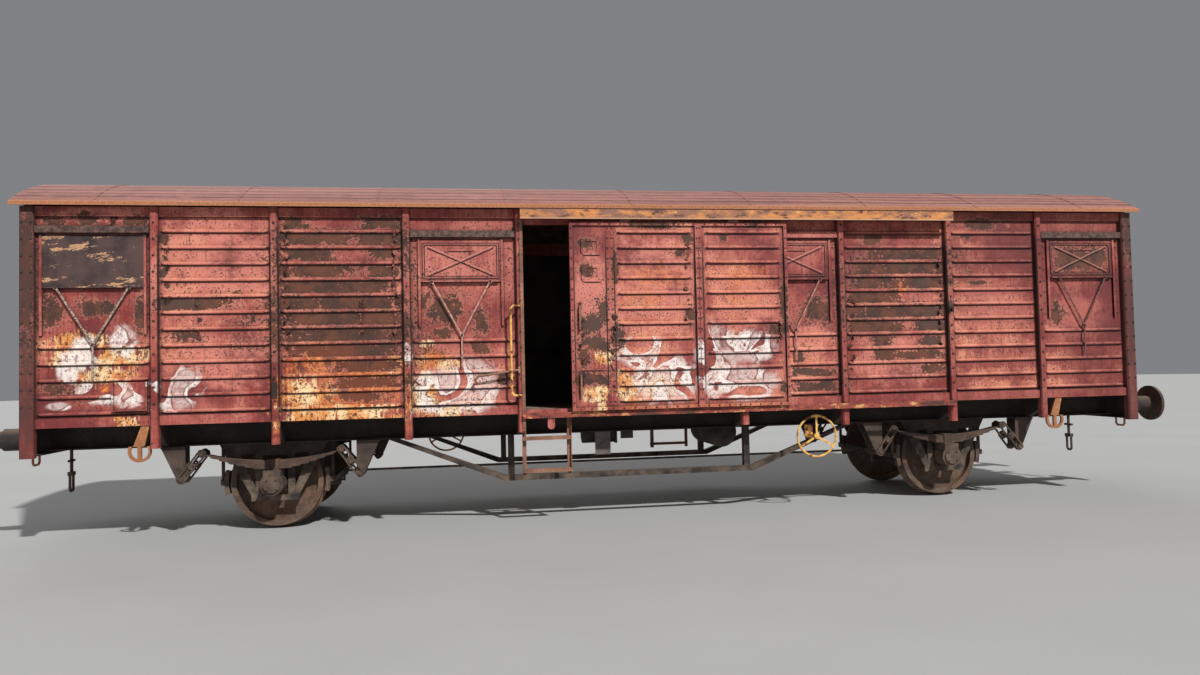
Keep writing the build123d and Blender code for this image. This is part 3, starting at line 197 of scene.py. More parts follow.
def fieldsOf(node):
    return {socket.name: Field(socket) for socket in node.outputs}


def calc(operation, *values):
    return Field(newNode("Math", *values, operation=operation).outputs[0])


def larger(first, second):
    return calc("MAXIMUM", first, second)


def vectorCalc(operation, *values):
    node = newNode("VectorMath", *values, operation=operation)
    return Field(node.outputs["Value" if operation == "LENGTH" else "Vector"])


def remap(value, low, high, start=0.0, end=1.0):
    return Field(newNode("MapRange", value, low, high, start, end, interpolation_type="SMOOTHSTEP").outputs[0])


def blend(amount, first, second):    # from the first colour to the second
    node = newNode("Mix", data_type="RGBA")
    for index, value in ((0, amount), (6, first), (7, second)):
        feed(node.inputs[index], value)
    return Field(node.outputs[2])


def moved(place, location=(0, 0, 0), turn=(0, 0, 0), scale=(1, 1, 1)):
    return Field(newNode("Mapping", place, location, turn, scale).outputs[0])


def noise(place, scale, detail=4.0, roughness=0.55, stretch=None, curl=0.0):
    if stretch:
        place = moved(place, scale=stretch)
    node = newNode("TexNoise")
    for label, value in (("Vector", place), ("Scale", scale), ("Detail", detail), ("Roughness", roughness),
                         ("Distortion", curl)):
        feed(node.inputs[label], value)
    return Field(node.outputs[0])


def split(place):
    return [Field(socket) for socket in newNode("SeparateXYZ", place).outputs]


def surfaceNormal():
    return Field(newNode("NewGeometry").outputs["Normal"])


def newGroup(name, given, taken):    # given holds each input's first value, and None for a place
    tree = work["tree"] = bpy.data.node_groups.new(name, "ShaderNodeTree")
    for label, value in given.items():
        kind = "Vector" if value is None else "Color" if isinstance(value, tuple) else "Float"
        socket = tree.interface.new_socket(name=label, in_out="INPUT", socket_type="NodeSocket" + kind)
        if value is not None:
            socket.default_value = value
    for label in taken:
        kind = "Color" if label == "Color" else "Float"
        tree.interface.new_socket(name=label, in_out="OUTPUT", socket_type="NodeSocket" + kind)
    return fieldsOf(tree.nodes.new("NodeGroupInput")), tree.nodes.new("NodeGroupOutput").inputs


def useGroup(group, **values):
    node = newNode("Group", node_tree=group)
    for label, value in values.items():
        feed(node.inputs[label], value)
    return fieldsOf(node)


def tint(red, green, blue):      # a screen colour of 0 to 255 as Blender's linear colour
    shares = [value / 255 for value in (red, green, blue)]
    return tuple(c / 12.92 if c < 10.3 / 255 else ((c + 0.055) / 1.055) ** 2.4 for c in shares) + (1.0,)


# Places of heavy wear on the sides, and dark lines, by kind: x, z, half width, half height
leftWear = {
    "pale": [(-5.72, 3.43, 0.5, 0.09), (-4.5, 2.92, 0.66, 0.62), (-4.42, 1.86, 0.56, 0.34)],
    "peelBox": [(-6.34, 2.82, 0.09, 0.7), (-4.69, 2.49, 0.37, 0.07), (-3.69, 3.34, 0.14, 0.07),
        (-2.78, 3.35, 0.19, 0.07), (-3.51, 3.19, 0.4, 0.09), (-2.79, 3.18, 0.28, 0.09),
        (-3.59, 3.01, 0.34, 0.09), (-2.73, 3.01, 0.22, 0.09), (-3.48, 2.83, 0.42, 0.09),
        (-2.75, 2.83, 0.24, 0.09), (-3.5, 2.66, 0.4, 0.09), (-3.21, 2.48, 0.8, 0.11),
        (-3.2, 2.3, 0.84, 0.12), (-3.21, 2.13, 0.84, 0.12), (-3.12, 1.96, 0.66, 0.09),
        (-2.92, 1.62, 0.38, 0.08)],
    "peel": [(-6.07, 3.36, 0.11, 0.05), (-5.74, 3.37, 0.12, 0.07), (-5.27, 3.36, 0.12, 0.05),
        (-6.1, 2.43, 0.1, 0.14), (-5.7, 2.46, 0.18, 0.09), (-5.24, 2.37, 0.06, 0.2),
        (-6.05, 1.61, 0.14, 0.07), (-5.01, 3.18, 0.06, 0.06), (-5.02, 2.8, 0.05, 0.05),
        (-4.8, 2.15, 0.15, 0.07), (-2.97, 2.65, 0.26, 0.12), (-2.96, 1.79, 0.42, 0.09),
        (-3.0, 1.47, 0.26, 0.07), (-2.1, 2.35, 0.2, 0.17), (-1.73, 2.29, 0.09, 0.16),
        (-2.37, 2.47, 0.05, 0.1), (-2.14, 2.14, 0.11, 0.07), (-1.74, 1.97, 0.09, 0.07),
        (-1.49, 1.6, 0.07, 0.08)],
    "cream": [(-5.88, 2.1, 0.36, 0.12), (-5.93, 1.96, 0.26, 0.18), (-5.44, 1.93, 0.34, 0.12),
        (-5.6, 1.76, 0.4, 0.12), (-3.56, 1.52, 0.28, 0.2), (-2.66, 1.8, 0.18, 0.14),
        (-2.33, 2.02, 0.15, 0.05), (-2.05, 1.77, 0.18, 0.08), (-2.36, 1.52, 0.2, 0.34),
        (-2.12, 1.3, 0.4, 0.12)],
    "white": [(-5.8, 1.98, 0.16, 0.2), (-5.41, 2.1, 0.14, 0.18), (-5.6, 1.58, 0.3, 0.14),
        (-5.95, 1.84, 0.12, 0.2), (-5.12, 1.77, 0.05, 0.15), (-5.12, 1.46, 0.05, 0.09),
        (-6.04, 1.44, 0.14, 0.05), (-4.92, 1.6, 0.3, 0.28), (-5.35, 1.52, 0.15, 0.12),
        (-2.52, 1.92, 0.06, 0.16), (-2.52, 1.42, 0.06, 0.22), (-1.84, 1.55, 0.34, 0.32),
        (-2.2, 1.5, 0.3, 0.26)],
    "darkBox": [(-5.348, 1.684, 0.176, 0.012), (-5.348, 1.366, 0.176, 0.014)],
    "orange": [(-5.59, 1.62, 0.06, 0.06), (-3.42, 1.87, 0.46, 0.24), (-3.05, 1.62, 0.62, 0.3),
        (-2.26, 1.84, 0.22, 0.16)],
    "creamBox": [(-5.36, 1.262, 0.15, 0.075), (-3.21, 1.28, 0.8, 0.11)],
    "orangeBox": [(-3.21, 1.4, 0.74, 0.3)],
}
rightWear = {
    "pale": [(3.24, 1.72, 0.62, 0.34), (2.05, 1.98, 0.4, 0.22), (4.5, 2.3, 0.5, 0.5), (5.7, 2.2, 0.5, 0.3)],
    "peel": [(2.22, 2.33, 0.16, 0.15), (1.98, 1.77, 0.05, 0.08), (2.93, 3.18, 0.13, 0.09),
        (3.64, 2.12, 0.24, 0.09), (3.04, 1.97, 0.12, 0.09), (3.68, 1.96, 0.19, 0.08),
        (3.66, 1.6, 0.2, 0.09), (4.4, 3.36, 0.24, 0.06), (4.15, 3.22, 0.14, 0.03), (4.31, 2.65, 0.16, 0.03),
        (5.35, 2.25, 0.1, 0.12), (6.36, 3.16, 0.07, 0.27), (5.92, 2.95, 0.14, 0.13)],
    "peelBox": [(2.13, 1.6, 0.24, 0.05), (2.17, 1.44, 0.28, 0.07), (3.38, 2.99, 0.56, 0.1),
        (3.32, 2.83, 0.66, 0.1), (2.95, 2.66, 0.36, 0.1), (3.61, 2.65, 0.33, 0.1), (2.9, 2.48, 0.34, 0.1),
        (3.23, 2.3, 0.76, 0.12), (2.95, 2.13, 0.4, 0.11), (3.06, 1.79, 0.12, 0.07),
        (3.48, 1.78, 0.27, 0.05), (5.58, 2.92, 0.26, 0.15)],
    "orange": [(3.28, 2.58, 0.08, 0.12)],
}
doorWear = {
    "pale": [(-0.5, 2.62, 0.2, 0.5), (0.24, 2.62, 0.56, 0.66), (1.3, 2.5, 0.44, 0.4)],
    "peel": [(-0.54, 3.11, 0.1, 0.06), (-0.57, 2.8, 0.08, 0.08), (-0.37, 2.34, 0.07, 0.15),
        (-0.5, 2.2, 0.14, 0.14), (-0.45, 1.99, 0.14, 0.09), (-0.58, 1.83, 0.08, 0.11),
        (0.24, 3.32, 0.24, 0.05), (0.64, 3.17, 0.08, 0.08), (0.54, 3.01, 0.1, 0.06),
        (-0.22, 2.83, 0.04, 0.18), (-0.19, 2.05, 0.08, 0.15), (0.65, 2.29, 0.07, 0.1),
        (1.41, 3.32, 0.1, 0.04), (1.03, 3.18, 0.06, 0.05), (1.67, 2.11, 0.13, 0.08),
        (1.76, 2.43, 0.05, 0.24), (1.74, 1.44, 0.05, 0.08)],
    "cream": [(-0.35, 1.84, 0.16, 0.13), (-0.46, 1.47, 0.2, 0.17), (-0.39, 1.26, 0.12, 0.08),
        (-0.11, 1.51, 0.17, 0.2), (0.2, 1.46, 0.3, 0.2)],
    "peelBox": [(-0.5, 1.58, 0.19, 0.08)],
    "orange": [(0.24, 2.73, 0.43, 0.17), (0.14, 2.47, 0.33, 0.08), (0.19, 1.43, 0.17, 0.14),
        (1.28, 2.72, 0.4, 0.17), (1.29, 2.46, 0.38, 0.08)],
    "orangeBox": [(0.54, 1.26, 1.3, 0.03)],
    "white": [(0.1, 1.86, 0.34, 0.2), (0.34, 1.56, 0.4, 0.3), (0.94, 1.74, 0.26, 0.44),
        (1.34, 1.92, 0.36, 0.2), (1.3, 1.5, 0.4, 0.22)],
}
farWear = {
    "peelBox": [(-5.6, 2.48, 0.45, 0.08), (-4.5, 1.96, 0.3, 0.07), (3.1, 2.65, 0.5, 0.08),
        (4.6, 2.3, 0.36, 0.07)],
    "peel": [(-4.4, 2.95, 0.4, 0.16), (-3.3, 2.2, 0.3, 0.3), (-1.95, 2.25, 0.22, 0.18),
        (-4.9, 1.62, 0.16, 0.1), (3.5, 2.1, 0.28, 0.18), (5.7, 1.8, 0.3, 0.14), (2.1, 1.6, 0.26, 0.1),
        (0.2, 2.6, 0.3, 0.1), (1.3, 1.9, 0.2, 0.16), (-0.5, 2.2, 0.12, 0.24), (6.34, 2.6, 0.1, 0.4)],
    "orange": [(-3.1, 1.6, 0.5, 0.2), (4.4, 1.6, 0.4, 0.15), (1.2, 2.6, 0.4, 0.14)],
    "cream": [(-2.95, 1.35, 0.45, 0.12), (5.8, 1.45, 0.3, 0.08), (0.5, 1.34, 0.4, 0.08)],
}
# Dark lines down a door, painted shade along the sides of its posts and its seam and under its two stamps
doorLines = {
    "darkBox": [(-0.323, 2.29, 0.011, 1.05), (-0.229, 2.29, 0.011, 1.05), (0.704, 2.29, 0.015, 1.05),
        (0.799, 2.29, 0.015, 1.05), (1.77, 2.29, 0.012, 1.05), (-0.69, 2.29, 0.01, 1.05),
        (0.752, 2.29, 0.005, 1.05), (-0.483, 2.973, 0.12, 0.01), (-0.483, 2.671, 0.12, 0.01),
        (-0.607, 3.08, 0.007, 0.11), (-0.607, 2.78, 0.007, 0.11), (-0.5, 1.68, 0.17, 0.01)],
}
# Painted shade lines down both edges of the posts, broader on the right half
postShadeLines = {"darkBox": [(side * x + edge * 0.037, 2.25, 0.006 + 0.003 * (side > 0), 1.3)
                         for side in (-1, 1) for x in (1.29, 2.522, 3.904, 5.104) for edge in (-1, 1)]}
wearAndShadeKinds = ["Peel", "Orange", "Cream", "White", "Dark", "Pale"]
surfaceParts = ["Color", "Roughness", "Height"]


def wearAndShadeGroup(name, places):     # each kind's field is 1 in the middle of a place and 0 at its edge
    given, taken = newGroup(name, {"Position": None}, wearAndShadeKinds)
    nearest = {kind: 3.0 for kind in wearAndShadeKinds}
    parts = split(given["Position"])
    for kind, spots in places.items():
        key = kind.replace("Box", "").title()
        for x, z, halfWidth, halfHeight in spots:
            if kind.endswith("Box"):
                across = abs(calc("MULTIPLY_ADD", parts[0], 1 / halfWidth, -x / halfWidth))
                upward = abs(calc("MULTIPLY_ADD", parts[2], 1 / halfHeight, -z / halfHeight))
                away = larger(across, upward)
            else:
                spot = vectorCalc("MULTIPLY_ADD", given["Position"], (1 / halfWidth, 0, 1 / halfHeight),
                                  (-x / halfWidth, 0, -z / halfHeight))
                away = vectorCalc("LENGTH", spot)
            nearest[key] = calc("MINIMUM", away, nearest[key])
    for kind, away in nearest.items():
        feed(taken[kind], 1.0 - away)
    return work["tree"]


# Rows of pressed ribs: the rib itself, its upper edge, worn and with a painted highlight, the painted shade
# and grime under it, and the sheet above it, which is bleached up to a torn edge
def ribGroup():
    given, taken = newGroup("ribRows", dict(Position=None, First=1.357, Pitch=0.1725, Keep=1.0),
                            ("Bleach", "Rib", "CrestWearAndHighlight", "UnderShadeAndGrime"))
    height = split(given["Position"])[2]
    above = calc("FRACT", (height - given["First"]) / given["Pitch"])
    teeth = noise(given["Position"], 1.0, 3.0, 0.7, stretch=(38, 38, 2.0))
    cloud = noise(given["Position"], 2.1, 3.0, 0.6, stretch=(1, 1, 1.6))
    reach = teeth * 1.5 + cloud * 1.9
    keep = given["Keep"]
    feed(taken["Bleach"], remap(reach - above, 1.12, 1.3) * keep)
    offset = (calc("FRACT", above + 0.5) - 0.5) * given["Pitch"]
    # the crest mask is worn paint with a painted highlight on the rib's upper edge, the under mask painted
    # shade and grime below the rib
    for label, middle, outer, inner in (("Rib", 0.0, 0.029, 0.023), ("CrestWearAndHighlight", 0.009, 0.010, 0.003),
                                        ("UnderShadeAndGrime", -0.022, 0.016, 0.006)):
        feed(taken[label], remap(abs(offset - middle), outer, inner) * keep)
    return work["tree"]


# Old paint: fades in clouds and runs, peels in ragged sheets down to brown steel, with painted shade in its
# corners
def paintGroup():
    given, taken = newGroup("oldPaint", dict(
        Position=None, Fresh=tint(152, 60, 54), Faded=tint(198, 122, 112), Bare=tint(84, 56, 46), Fade=0.5,
        Wear=0.0, Peel=-2.0, Orange=-2.0, Cream=-2.0, White=-2.0, Dark=-2.0, Pale=-2.0, Bleach=0.0, Rib=0.0,
        CrestWearAndHighlight=0.0, UnderShadeAndGrime=0.0, Crease=0.0, Salmon=0.8, Bloom=0.9), surfaceParts)
    place = given["Position"]
    cloud = noise(place, 0.9, 4.0, 0.6)
    patch = noise(place, 5.5, 6.0, 0.66)
    middle = noise(place, 19.0, 5.0, 0.7)
    fine = noise(place, 52.0, 3.0, 0.65)
    runs = noise(place, 1.0, 5.0, 0.66, stretch=(34, 34, 1.7))
    ragged = noise(place, 6.5, 10.0, 0.72)
    # faded paint, with plum shades, pale runs and salmon undercoat above the ribs
    mottle = cloud * 1.3 + patch * 0.9 + runs * 0.8
    pale = remap(given["Pale"] + (patch - 0.5), -0.1, 0.5)
    fade = remap(mottle + pale * 0.5 + given["Fade"] * 0.8, 1.45, 2.25)
    colour = blend(fade, given["Fresh"], given["Faded"])
    plum = remap(cloud + middle * 0.35, 0.66, 0.5)
    colour = blend(plum * 0.75, colour, tint(104, 40, 40))
    salmon = given["Bleach"] * remap(cloud + given["Fade"] * 0.3, 0.52, 0.72)
    salmonTone = blend(remap(patch, 0.4, 0.6), tint(196, 110, 88), tint(224, 146, 116))
    colour = blend(salmon * given["Salmon"], colour, salmonTone)
    colour = blend(remap(runs, 0.55, 0.7) * 0.6, colour, tint(84, 33, 30))
    # orange rust bloom, cream rust and old white paint
    wobble = (ragged - 0.5) * 3.6 + (middle - 0.5) * 1.8
    drift = wobble * 0.6 + (runs - 0.5) * 1.8
    orange = remap(given["Orange"] + drift, -0.1, 0.6)
    rustTone = blend(remap(middle, 0.4, 0.6), tint(176, 84, 38), tint(236, 140, 60))
    rustTone = blend(remap(patch, 0.55, 0.62), rustTone, tint(98, 48, 30))
    colour = blend(orange * given["Bloom"], colour, rustTone)
    cream = remap(given["Cream"] + drift * 1.5, 0.1, 0.4)
    creamTone = blend(remap(patch, 0.42, 0.58), tint(226, 150, 78), tint(250, 218, 166))
    flecks = middle * 0.7 + runs * 0.3
    creamTone = blend(remap(flecks, 0.52, 0.57), creamTone, tint(112, 56, 38))
    colour = blend(cream * 0.95, colour, creamTone)
    # white paint in broad curved strokes with dark edges, partly filled and rubbed thin
    swirl = noise(place, 2.3, 1.0, 0.5, curl=1.4)
    ring = abs(swirl - 0.49)
    painted = remap(given["White"] + wobble * 0.3, -0.1, 0.25)
    outline = remap(abs(ring - 0.086), 0.016, 0.006)
    colour = blend(outline * painted * 0.5, colour, tint(84, 62, 60))
    strokes = larger(remap(ring, 0.078, 0.058), remap(swirl, 0.56, 0.62) * 0.6)
    rubbed = remap(middle + runs * 0.5, 0.92, 0.66, 0.35, 1.0)
    colour = blend(painted * strokes * rubbed, colour, tint(240, 228, 220))
    # bare steel where the paint is off, less of it on the ribs
    spots = (fine - 0.5) * 1.1
    anywhere = given["Wear"] - 2.05 + ragged * 2.6 + (cloud - 0.5) * 1.4
    field = larger(given["Peel"] + wobble, anywhere) + spots - given["Rib"] * 0.45
    bare = remap(field, 0.02, 0.09)
    whole = 1.0 - bare
    rim = remap(field, -0.34, 0.0) * whole
    colour = blend(rim * 0.6, colour, tint(216, 140, 120))
    steel = blend(remap(patch, 0.4, 0.6), given["Bare"], tint(104, 60, 42))
    steel = blend(remap(cloud, 0.52, 0.62), steel, tint(84, 59, 49))
    steel = blend(orange * 0.75, steel, tint(116, 58, 34))
    steel = blend(remap(fine, 0.62, 0.74), steel, tint(170, 106, 74))
    steel = blend(remap(field, 0.3, 0.06) * 0.75, steel, tint(34, 20, 18))
    colour = blend(bare, colour, steel)
    # chips, thickest round the peeled places
    nearby = remap(field, -1.2, -0.1) * 0.18
    chips = remap(fine + nearby, 0.735, 0.775) * whole
    colour = blend(chips * 0.9, colour, tint(66, 38, 33))
    # worn rib tops with a painted highlight, painted shade and grime under the ribs, painted shade in the
    # corners and the dark lines
    crestWearAndHighlight = given["CrestWearAndHighlight"] * remap(middle, 0.36, 0.6)
    colour = blend(crestWearAndHighlight * 0.3, colour, tint(222, 156, 136))
    shadeAndGrime = larger(given["UnderShadeAndGrime"] * 0.9, given["Crease"])
    shadeAndGrime = larger(remap(given["Dark"], 0.0, 0.45), shadeAndGrime)
    colour = blend(shadeAndGrime * 0.92, colour, tint(36, 15, 14))
    feed(taken["Color"], colour)
    feed(taken["Roughness"], 0.52 + fine * 0.22 + bare * 0.18)
    feed(taken["Height"], whole * 0.8 + rim * 0.7 + fine * (0.12 + bare * 0.35) - chips * 0.5)
    return work["tree"]


# The pressed cross and border of a shutter about a middle point: painted shade and dirt under the beads, a
# painted highlight on top of them
def stampGroup():
    given, taken = newGroup("stampLines", dict(Position=None, X=0.0, Z=0.0), ("Dark", "Light"))
    across, out, upward = split(given["Position"])
    across, upward = across - given["X"], upward - given["Z"]
    wide = abs(across)
    dark, light = 0.0, 0.0
    for slope in (-0.4394, 0.4394):
        away = calc("MULTIPLY_ADD", across, slope, upward) * 0.9155
        dark = larger(remap(abs(away + 0.016), 0.01, 0.005), dark)
        light = larger(remap(abs(away - 0.009), 0.007, 0.003), light)
    within = remap(wide, 0.366, 0.352)
    dark, light = dark * within, light * within
    for halfWidth, halfHeight in ((0.418, 0.196), (0.396, 0.174)):
        away = larger(wide - halfWidth, abs(upward) - halfHeight)
        dark = larger(remap(abs(away), 0.009, 0.004) * 0.9, dark)
    lower = remap(abs(upward - 0.103), 0.009, 0.004) * remap(wide, 0.16, 0.15)
    feed(taken["Dark"], larger(dark, lower))
    feed(taken["Light"], light)
    return work["tree"]


# Rusted steel: dark scale, orange bloom and pale dust, with pits
def rustGroup():
    given, taken = newGroup("rustedSteel", dict(
        Position=None, Scale=tint(62, 42, 36), Bloom=tint(140, 84, 54), Pale=tint(186, 138, 104), Bright=0.4,
        Grain=1.0), surfaceParts)
    place = vectorCalc("MULTIPLY", given["Position"], given["Grain"])
    cloud = noise(place, 3.0, 5.0, 0.6)
    grain = noise(place, 42.0, 5.0, 0.68)
    pits = noise(place, 130.0, 2.0, 0.5)
    bloom = remap(cloud * 1.1 + grain * 0.7 + given["Bright"], 0.95, 1.65)
    colour = blend(bloom, given["Scale"], given["Bloom"])
    pale = remap(grain + cloud * 0.6, 0.86, 1.02) * given["Bright"]
    colour = blend(pale, colour, given["Pale"])
    colour = blend(remap(pits, 0.6, 0.72), colour, tint(34, 22, 20))
    feed(taken["Color"], colour)
    feed(taken["Roughness"], 0.62 + grain * 0.35)
    feed(taken["Height"], grain * 0.8 + pits * -0.3)
    return work["tree"]


# Dust thrown up from the track, thickest low down and on ledges
def dustGroup():
    given, taken = newGroup("trackDust", dict(
        Position=None, Color=tint(0, 0, 0), Dust=tint(150, 128, 106), Low=0.3, High=1.2, Amount=0.5), ["Color"])
    place = given["Position"]
    low = remap(split(place)[2], given["High"], given["Low"])
    cloud = remap(noise(place, 6.0, 6.0, 0.65), 0.35, 0.7)
    ledge = remap(split(surfaceNormal())[2], 0.4, 0.9, 0.0, 0.6)
    amount = larger(low * cloud, ledge) * given["Amount"]
    feed(taken["Color"], blend(amount, given["Color"], given["Dust"]))
    return work["tree"]


# Boards: tone from board to board, grain along them and dark gaps
def boardGroup():
    given, taken = newGroup("boards", dict(
        Position=None, Width=0.15, Light=tint(150, 128, 104), Dark=tint(84, 66, 52)), surfaceParts)
    along = split(given["Position"])[0] / given["Width"]
    gap = remap(abs(calc("FRACT", along) - 0.5), 0.47, 0.49)
    tone = newNode("TexWhiteNoise", noise_dimensions="1D")
    feed(tone.inputs["W"], calc("FLOOR", along))
    tone = Field(tone.outputs["Value"])
    grain = noise(given["Position"], 1.0, 5.0, 0.6, stretch=(70, 3, 70))
    mix = tone * 0.45 + grain * 0.75
    colour = blend(remap(mix, 0.25, 0.95), given["Dark"], given["Light"])
    stain = remap(noise(given["Position"], 1.6, 5.0), 0.52, 0.66)
    colour = blend(stain * 0.5, colour, tint(60, 46, 38))
    feed(taken["Color"], blend(gap, colour, tint(22, 17, 14)))
    feed(taken["Roughness"], 0.7 + grain * 0.2)
    feed(taken["Height"], grain * 0.4 - gap)
    return work["tree"]


leftPlaces = wearAndShadeGroup("leftWear", leftWear)
rightPlaces = wearAndShadeGroup("rightWear", rightWear)
doorPlaces = wearAndShadeGroup("doorWear", doorWear)
farPlaces = wearAndShadeGroup("farWear", farWear)
doorShadeAndSeamLines = wearAndShadeGroup("doorLines", doorLines)
postShadeEdges = wearAndShadeGroup("postShadeLines", postShadeLines)
ribRows = ribGroup()
oldPaint = paintGroup()
stampLines = stampGroup()
rustedSteel = rustGroup()
trackDust = dustGroup()
boards = boardGroup()
print("shader groups made")


# Materials

def newMaterial(name):
    material = bpy.data.materials.new(name)
    material.use_nodes = True
    work["tree"] = material.node_tree
    return material, Field(newNode("TexCoord").outputs["Object"])


def finishSurface(material, colour, roughness, height, strength, distance):
    shader = material.node_tree.nodes["Principled BSDF"]
    feed(shader.inputs["Base Color"], colour)
    feed(shader.inputs["Roughness"], roughness)
    bump = newNode("Bump")
    for label, value in (("Strength", strength), ("Distance", distance), ("Height", height)):
        feed(bump.inputs[label], value)
    feed(shader.inputs["Normal"], Field(bump.outputs[0]))
    return material


def dress(material, *names):
    for name in names:
        nodes[name].data.materials.clear()
        nodes[name].data.materials.append(material)


def insideMask(place, innerOut, innerEnd):       # 1 on faces that look into the load space
    x, y, z = split(place)
    side = remap(abs(y), innerOut + 0.004, innerOut + 0.001)
    end = remap(abs(x), innerEnd + 0.004, innerEnd + 0.001)
    return side * end * remap(z, 1.2, 1.24)


# the inside tones are dark to stand in for the shade in the load space: painted shade
paintTones = {
    "fresh": tint(138, 46, 41), "faded": tint(206, 122, 106), "bare": tint(70, 45, 37),
    "deep": tint(114, 40, 36), "deepFaded": tint(168, 86, 76), "inside": tint(70, 60, 52),
    "insideDark": tint(40, 34, 30),
}


# Painted shade: an ambient occlusion node darkens corners and the sheet beside raised edges
def creaseShadeMask(distance):        # 1 in corners and beside raised edges
    node = newNode("AmbientOcclusion", samples=4)
    feed(node.inputs["Distance"], distance)
    return remap(Field(node.outputs["AO"]), 0.9, 0.52)


# Where sheets have ribs: each half's middle, half length and shutters' travel, and a door's post and ends
ribFields = {"middle": 3.823, "half": 1.282, "travel": (2.12, 3.30), "post": 0.752, "ends": (-0.205, 1.74)}


def ribMask(place, kind):        # 1 on ribs, 0 over the shutters' travel and a door's plain parts
    x, y, z = split(place)
    if kind == "bays":
        low, high = ribFields["travel"]
        among = remap(abs(abs(x) - ribFields["middle"]), ribFields["half"] + 0.01, ribFields["half"])
        return larger(among, remap(z, low, low - 0.02)) * remap(z, high + 0.02, high)
    left, right = ribFields["ends"]
    post = remap(abs(x - ribFields["post"]), 0.07, 0.08)
    return post * (remap(x, left, left + 0.01) * remap(x, right, right - 0.01))


barFront = 1.3535                # how far out the shutters' bars reach, 2 mm beyond their sheets


def barMask(place, top):         # 1 on the front of a shutter's bars, below their top
    across, out, up = split(place)
    return remap(abs(out), barFront - 0.002, barFront) * remap(up, top, top - 0.008)


# Where one end's darker bays begin, and the corner posts
aging = {"from": 3.8, "to": 4.05, "corner": 6.248}


# A side's paint. places are the groups of wear and of dark lines on it, ribs is the height of the lowest rib
# and ribbed the kind of sheet they are on, far turns the pattern to the far side and slid moves it along with a
# closed door, inner names the load space's walls or a door's back, which get dark tones as painted shade, lines
# is the middle of a shutter, whose beads get painted shade and highlight, and bars the two colours of its bars,
# aged darkens the corner posts and one end's bays.
def sidePaint(name, places=(), ribs=None, far=False, fade=0.5, wear=0.0, inner=None, fresh="fresh",
              faded="faded", creaseShade=0.045, salmon=0.8, bloom=0.9, lines=None, bars=None, ribbed=None,
              aged=False, slid=0.0):
    material, place = newMaterial(name)
    here = moved(place, location=(slid, 0, 0), turn=(0, 0, math.pi)) if far else place
    cloudPlace = moved(here, location=(31.7, 8.3, 0)) if far else here
    values = dict(Position=cloudPlace, Fresh=paintTones[fresh], Faded=paintTones[faded],
                  Bare=paintTones["bare"], Fade=fade, Wear=wear, Salmon=salmon, Bloom=bloom)
    fields = [useGroup(group, Position=here) for group in places]
    for kind in wearAndShadeKinds if fields else ():
        values[kind] = fields[0][kind]
        for field in fields[1:]:
            values[kind] = larger(field[kind], values[kind])
    if ribs:
        rows = useGroup(ribRows, Position=cloudPlace, First=ribs, Keep=ribMask(here, ribbed) if ribbed else 1.0)
        values.update({label: rows[label] for label in ("Bleach", "Rib", "CrestWearAndHighlight", "UnderShadeAndGrime")})
    # painted shade in the corners
    if creaseShade:
        values["Crease"] = creaseShadeMask(creaseShade)
    if aged:
        along = split(here)[0]
        older = remap(along, aging["from"], aging["to"], 0.0, 0.75)
        values["Fresh"] = blend(older, paintTones[fresh], paintTones["deep"])
        values["Faded"] = blend(older, paintTones[faded], paintTones["deepFaded"])
    paint = useGroup(oldPaint, **values)
    colour = paint["Color"]
    if aged:
        corner = remap(abs(along), aging["corner"], aging["corner"] + 0.008)
        stain = remap(noise(here, 1.0, 5.0, 0.65, stretch=(8, 8, 1.6)), 0.36, 0.6, 0.35, 0.88)
        colour = blend(corner * stain, colour, tint(74, 46, 40))
    if lines:
        # painted highlight on top of the pressed beads and painted shade under them
        stamp = useGroup(stampLines, Position=here, X=lines[0], Z=lines[1])
        colour = blend(stamp["Light"] * 0.5, colour, tint(226, 156, 138))
        colour = blend(stamp["Dark"] * 0.9, colour, tint(40, 14, 14))
    if bars:
        onBar = barMask(here, lines[1] - 0.228)
        mixed = blend(remap(noise(here, 30.0, 4.0, 0.7), 0.42, 0.6), tint(*bars[0]), tint(*bars[1]))
        colour = blend(onBar, colour, mixed)
    # Painted shade: the load space's walls and the doors' backs get dark lining tones that stand in for the
    # shade inside
    if inner:
        shadedLining = blend(remap(noise(place, 2.4, 5.0), 0.4, 0.62), paintTones["inside"], paintTones["insideDark"])
        colour = blend(insideMask(place, *inner), colour, shadedLining)
    return finishSurface(material, colour, paint["Roughness"], paint["Height"], 0.8, 0.004)


def rustMaterial(name, scale, bloom, pale, bright, grain=1.0, dust=0.0):
    material, place = newMaterial(name)
    rust = useGroup(rustedSteel, Position=place, Scale=tint(*scale), Bloom=tint(*bloom), Pale=tint(*pale),
                    Bright=bright, Grain=grain)
    colour = rust["Color"]
    if dust:
        colour = useGroup(trackDust, Position=place, Color=colour, Amount=dust)["Color"]
    return finishSurface(material, colour, rust["Roughness"], rust["Height"], 0.6, 0.003)


